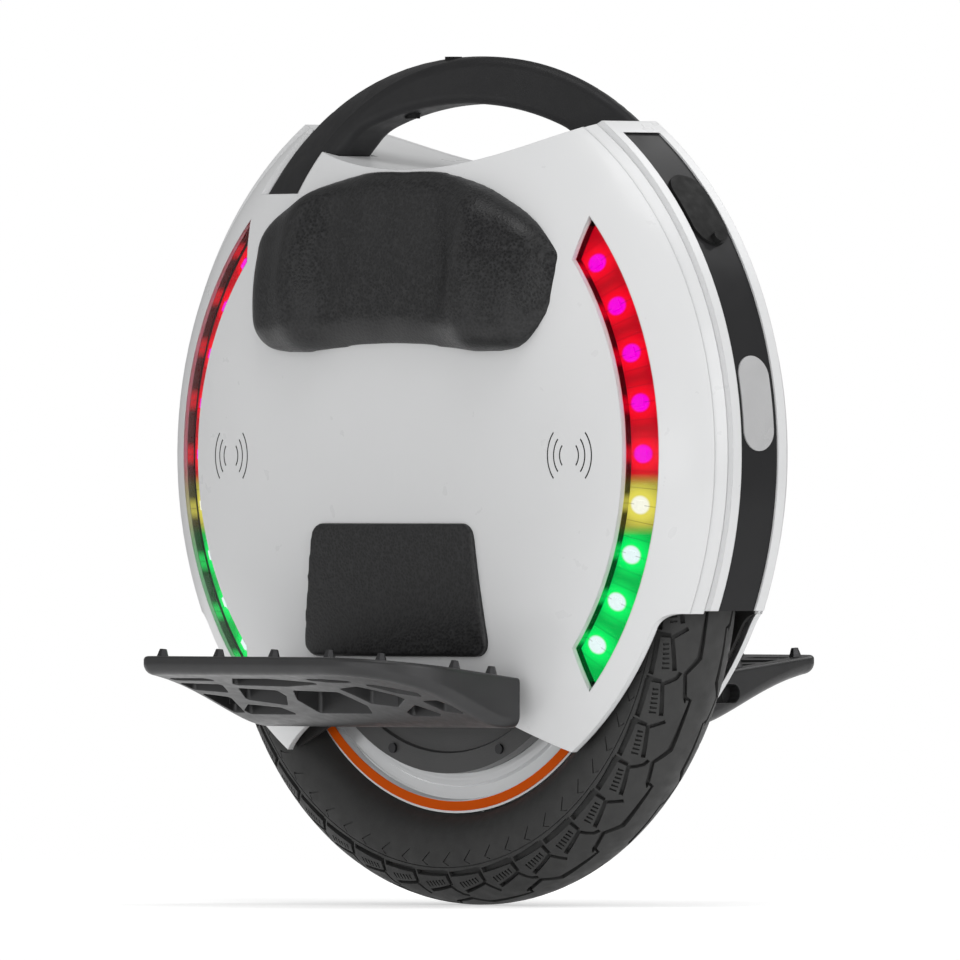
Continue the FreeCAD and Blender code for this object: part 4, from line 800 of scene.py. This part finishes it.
def make_pad(node, name, voxel, pressure, cap, back_gap):
    """A leather pad in place of a node's solid."""
    skin = skin_of(node, voxel)

    def hold(place):
        return 1.0 if lift(place) < back_gap else 0.0

    bm = bmesh.new()
    bm.from_mesh(skin)
    for _ in range(SKIN_SMOOTHS):
        bmesh.ops.smooth_vert(
            bm, verts=bm.verts[:], factor=SMOOTH_SHARE,
            use_axis_x=True, use_axis_y=True, use_axis_z=True,
        )
    bm.to_mesh(skin)
    bm.free()
    skin = swell(skin, hold, pressure, cap)
    bm = bmesh.new()
    bm.from_mesh(skin)
    pad = make_piece(bm, name, frame_body(node), "pad_leather", pi)
    finer = pad.modifiers.new("finer", "SUBSURF")
    finer.levels = finer.render_levels = 1
    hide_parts(node)
    return pad


# %% Pads
for side in ("right", "left"):
    upper = make_pad(side + "_upper_pad", side + "_knee_pad", **UPPER_PAD)
    lower = make_pad(side + "_lower_pad", side + "_ankle_pad", **LOWER_PAD)
    print(side, "pads have", len(upper.data.polygons), "and", len(lower.data.polygons), "faces")

# %% [markdown]
# ## Floor, light and camera
# The photograph has no perspective to speak of: both pedals keep the same size. A very long lens from
# far away gives that look, and it still frames the whole object from any other side. Light comes from
# five large soft boxes. The background is plain white to the camera, but dimmer in reflections and in
# the light that it sheds, so that it doesn't wash out the blacks. Reflections see the floor as white
# as the camera does. Seen from below, the floor is clear, so the underside shows.

# %% Floor
FLOOR_R = 1.6
FLOOR_BOUNCE = 0.3
FLOOR_GLOSS = 1.0
FLOOR_SHINE = 0.5


def show_white(tree, strength, gloss):
    """White for camera and transmission rays, gloss for reflections and strength for the rest."""
    path = add_node(tree, "LightPath").outputs
    seen = calc(tree, "MAXIMUM", path["Is Camera Ray"], path["Is Transmission Ray"])
    unseen = spread(tree, path["Is Glossy Ray"], strength, gloss, 0, 1)
    return calc(tree, "MAXIMUM", seen, unseen)


bm = bmesh.new()
bmesh.ops.create_circle(bm, cap_ends=True, radius=FLOOR_R, segments=96)
mesh = bpy.data.meshes.new("floor")
bm.to_mesh(mesh)
bm.free()
floor = bpy.data.objects.new("floor", mesh)
bpy.context.scene.collection.objects.link(floor)
floor_finish = bpy.data.materials.new("pale_floor")
floor_finish.use_nodes = True
tree = floor_finish.node_tree
shader = tree.nodes["Principled BSDF"]
shader.inputs["Base Color"].default_value = (0.8, 0.8, 0.8, 1)
shader.inputs["Roughness"].default_value = 0.9
shader.inputs["Specular IOR Level"].default_value = 0.0
shader.inputs["Emission Color"].default_value = (1, 1, 1, 1)
share = calc(tree, "MULTIPLY", show_white(tree, FLOOR_BOUNCE, FLOOR_GLOSS), FLOOR_SHINE)
tree.links.new(share, shader.inputs["Emission Strength"])
from_below = add_node(tree, "NewGeometry").outputs["Backfacing"]
clear = add_node(tree, "BsdfTransparent").outputs[0]
one_way = add_node(tree, "MixShader", {0: from_below, 1: shader.outputs[0], 2: clear}).outputs[0]
tree.links.new(one_way, tree.nodes["Material Output"].inputs["Surface"])
mesh.materials.append(floor_finish)

# %% World and lamps
WORLD_STRENGTH = 0.48
GLOSS_STRENGTH = 0.28
world = bpy.data.worlds.new("studio")
bpy.context.scene.world = world
world.use_nodes = True
tree = world.node_tree
background = tree.nodes["Background"]
background.inputs["Color"].default_value = (1, 1, 1, 1)
tree.links.new(show_white(tree, WORLD_STRENGTH, GLOSS_STRENGTH), background.inputs["Strength"])

SOFT_BOXES = {
    # name: place, width and height, power in watts
    "key_box": ((2.1, -0.4, 0.8), (1.3, 1.3), 12),
    "side_box": ((-1.4, -2.0, 1.2), (1.8, 1.8), 5),
    "low_box": ((0.7, -2.1, 0.22), (1.8, 0.35), 5),
    "top_box": ((0.5, -0.5, 2.0), (0.9, 0.9), 8),
    "back_box": ((0.3, 1.9, 1.8), (1.6, 1.2), 14),
}
AIM = Vector((0, 0, 0.2232))
for name, (place, (width, height), power) in SOFT_BOXES.items():
    lamp = bpy.data.lights.new(name, "AREA")
    lamp.shape = "RECTANGLE"
    lamp.size, lamp.size_y, lamp.energy = width, height, power
    box = bpy.data.objects.new(name, lamp)
    box.location = place
    box.rotation_euler = (AIM - Vector(place)).to_track_quat("-Z", "Y").to_euler()
    bpy.context.scene.collection.objects.link(box)

# %% Camera
VIEW_SPAN = 0.5044
LENS = 1000
SENSOR = 36
PHOTO_TURN = radians(45)
CAMERA_SIDE = Vector((sin(PHOTO_TURN), -cos(PHOTO_TURN), 0))
camera_data = bpy.data.cameras.new("camera")
camera_data.lens = LENS
camera_data.sensor_width = SENSOR
camera_data.clip_start, camera_data.clip_end = 1, 60
camera = bpy.data.objects.new("camera", camera_data)
camera.location = AIM + CAMERA_SIDE * (VIEW_SPAN * LENS / SENSOR)
camera.rotation_euler = (-CAMERA_SIDE).to_track_quat("-Z", "Y").to_euler()
bpy.context.scene.collection.objects.link(camera)
bpy.context.scene.camera = camera
bpy.context.scene.view_settings.view_transform = "Standard"
print("camera stands", round((camera.location - AIM).length, 2), "m away")
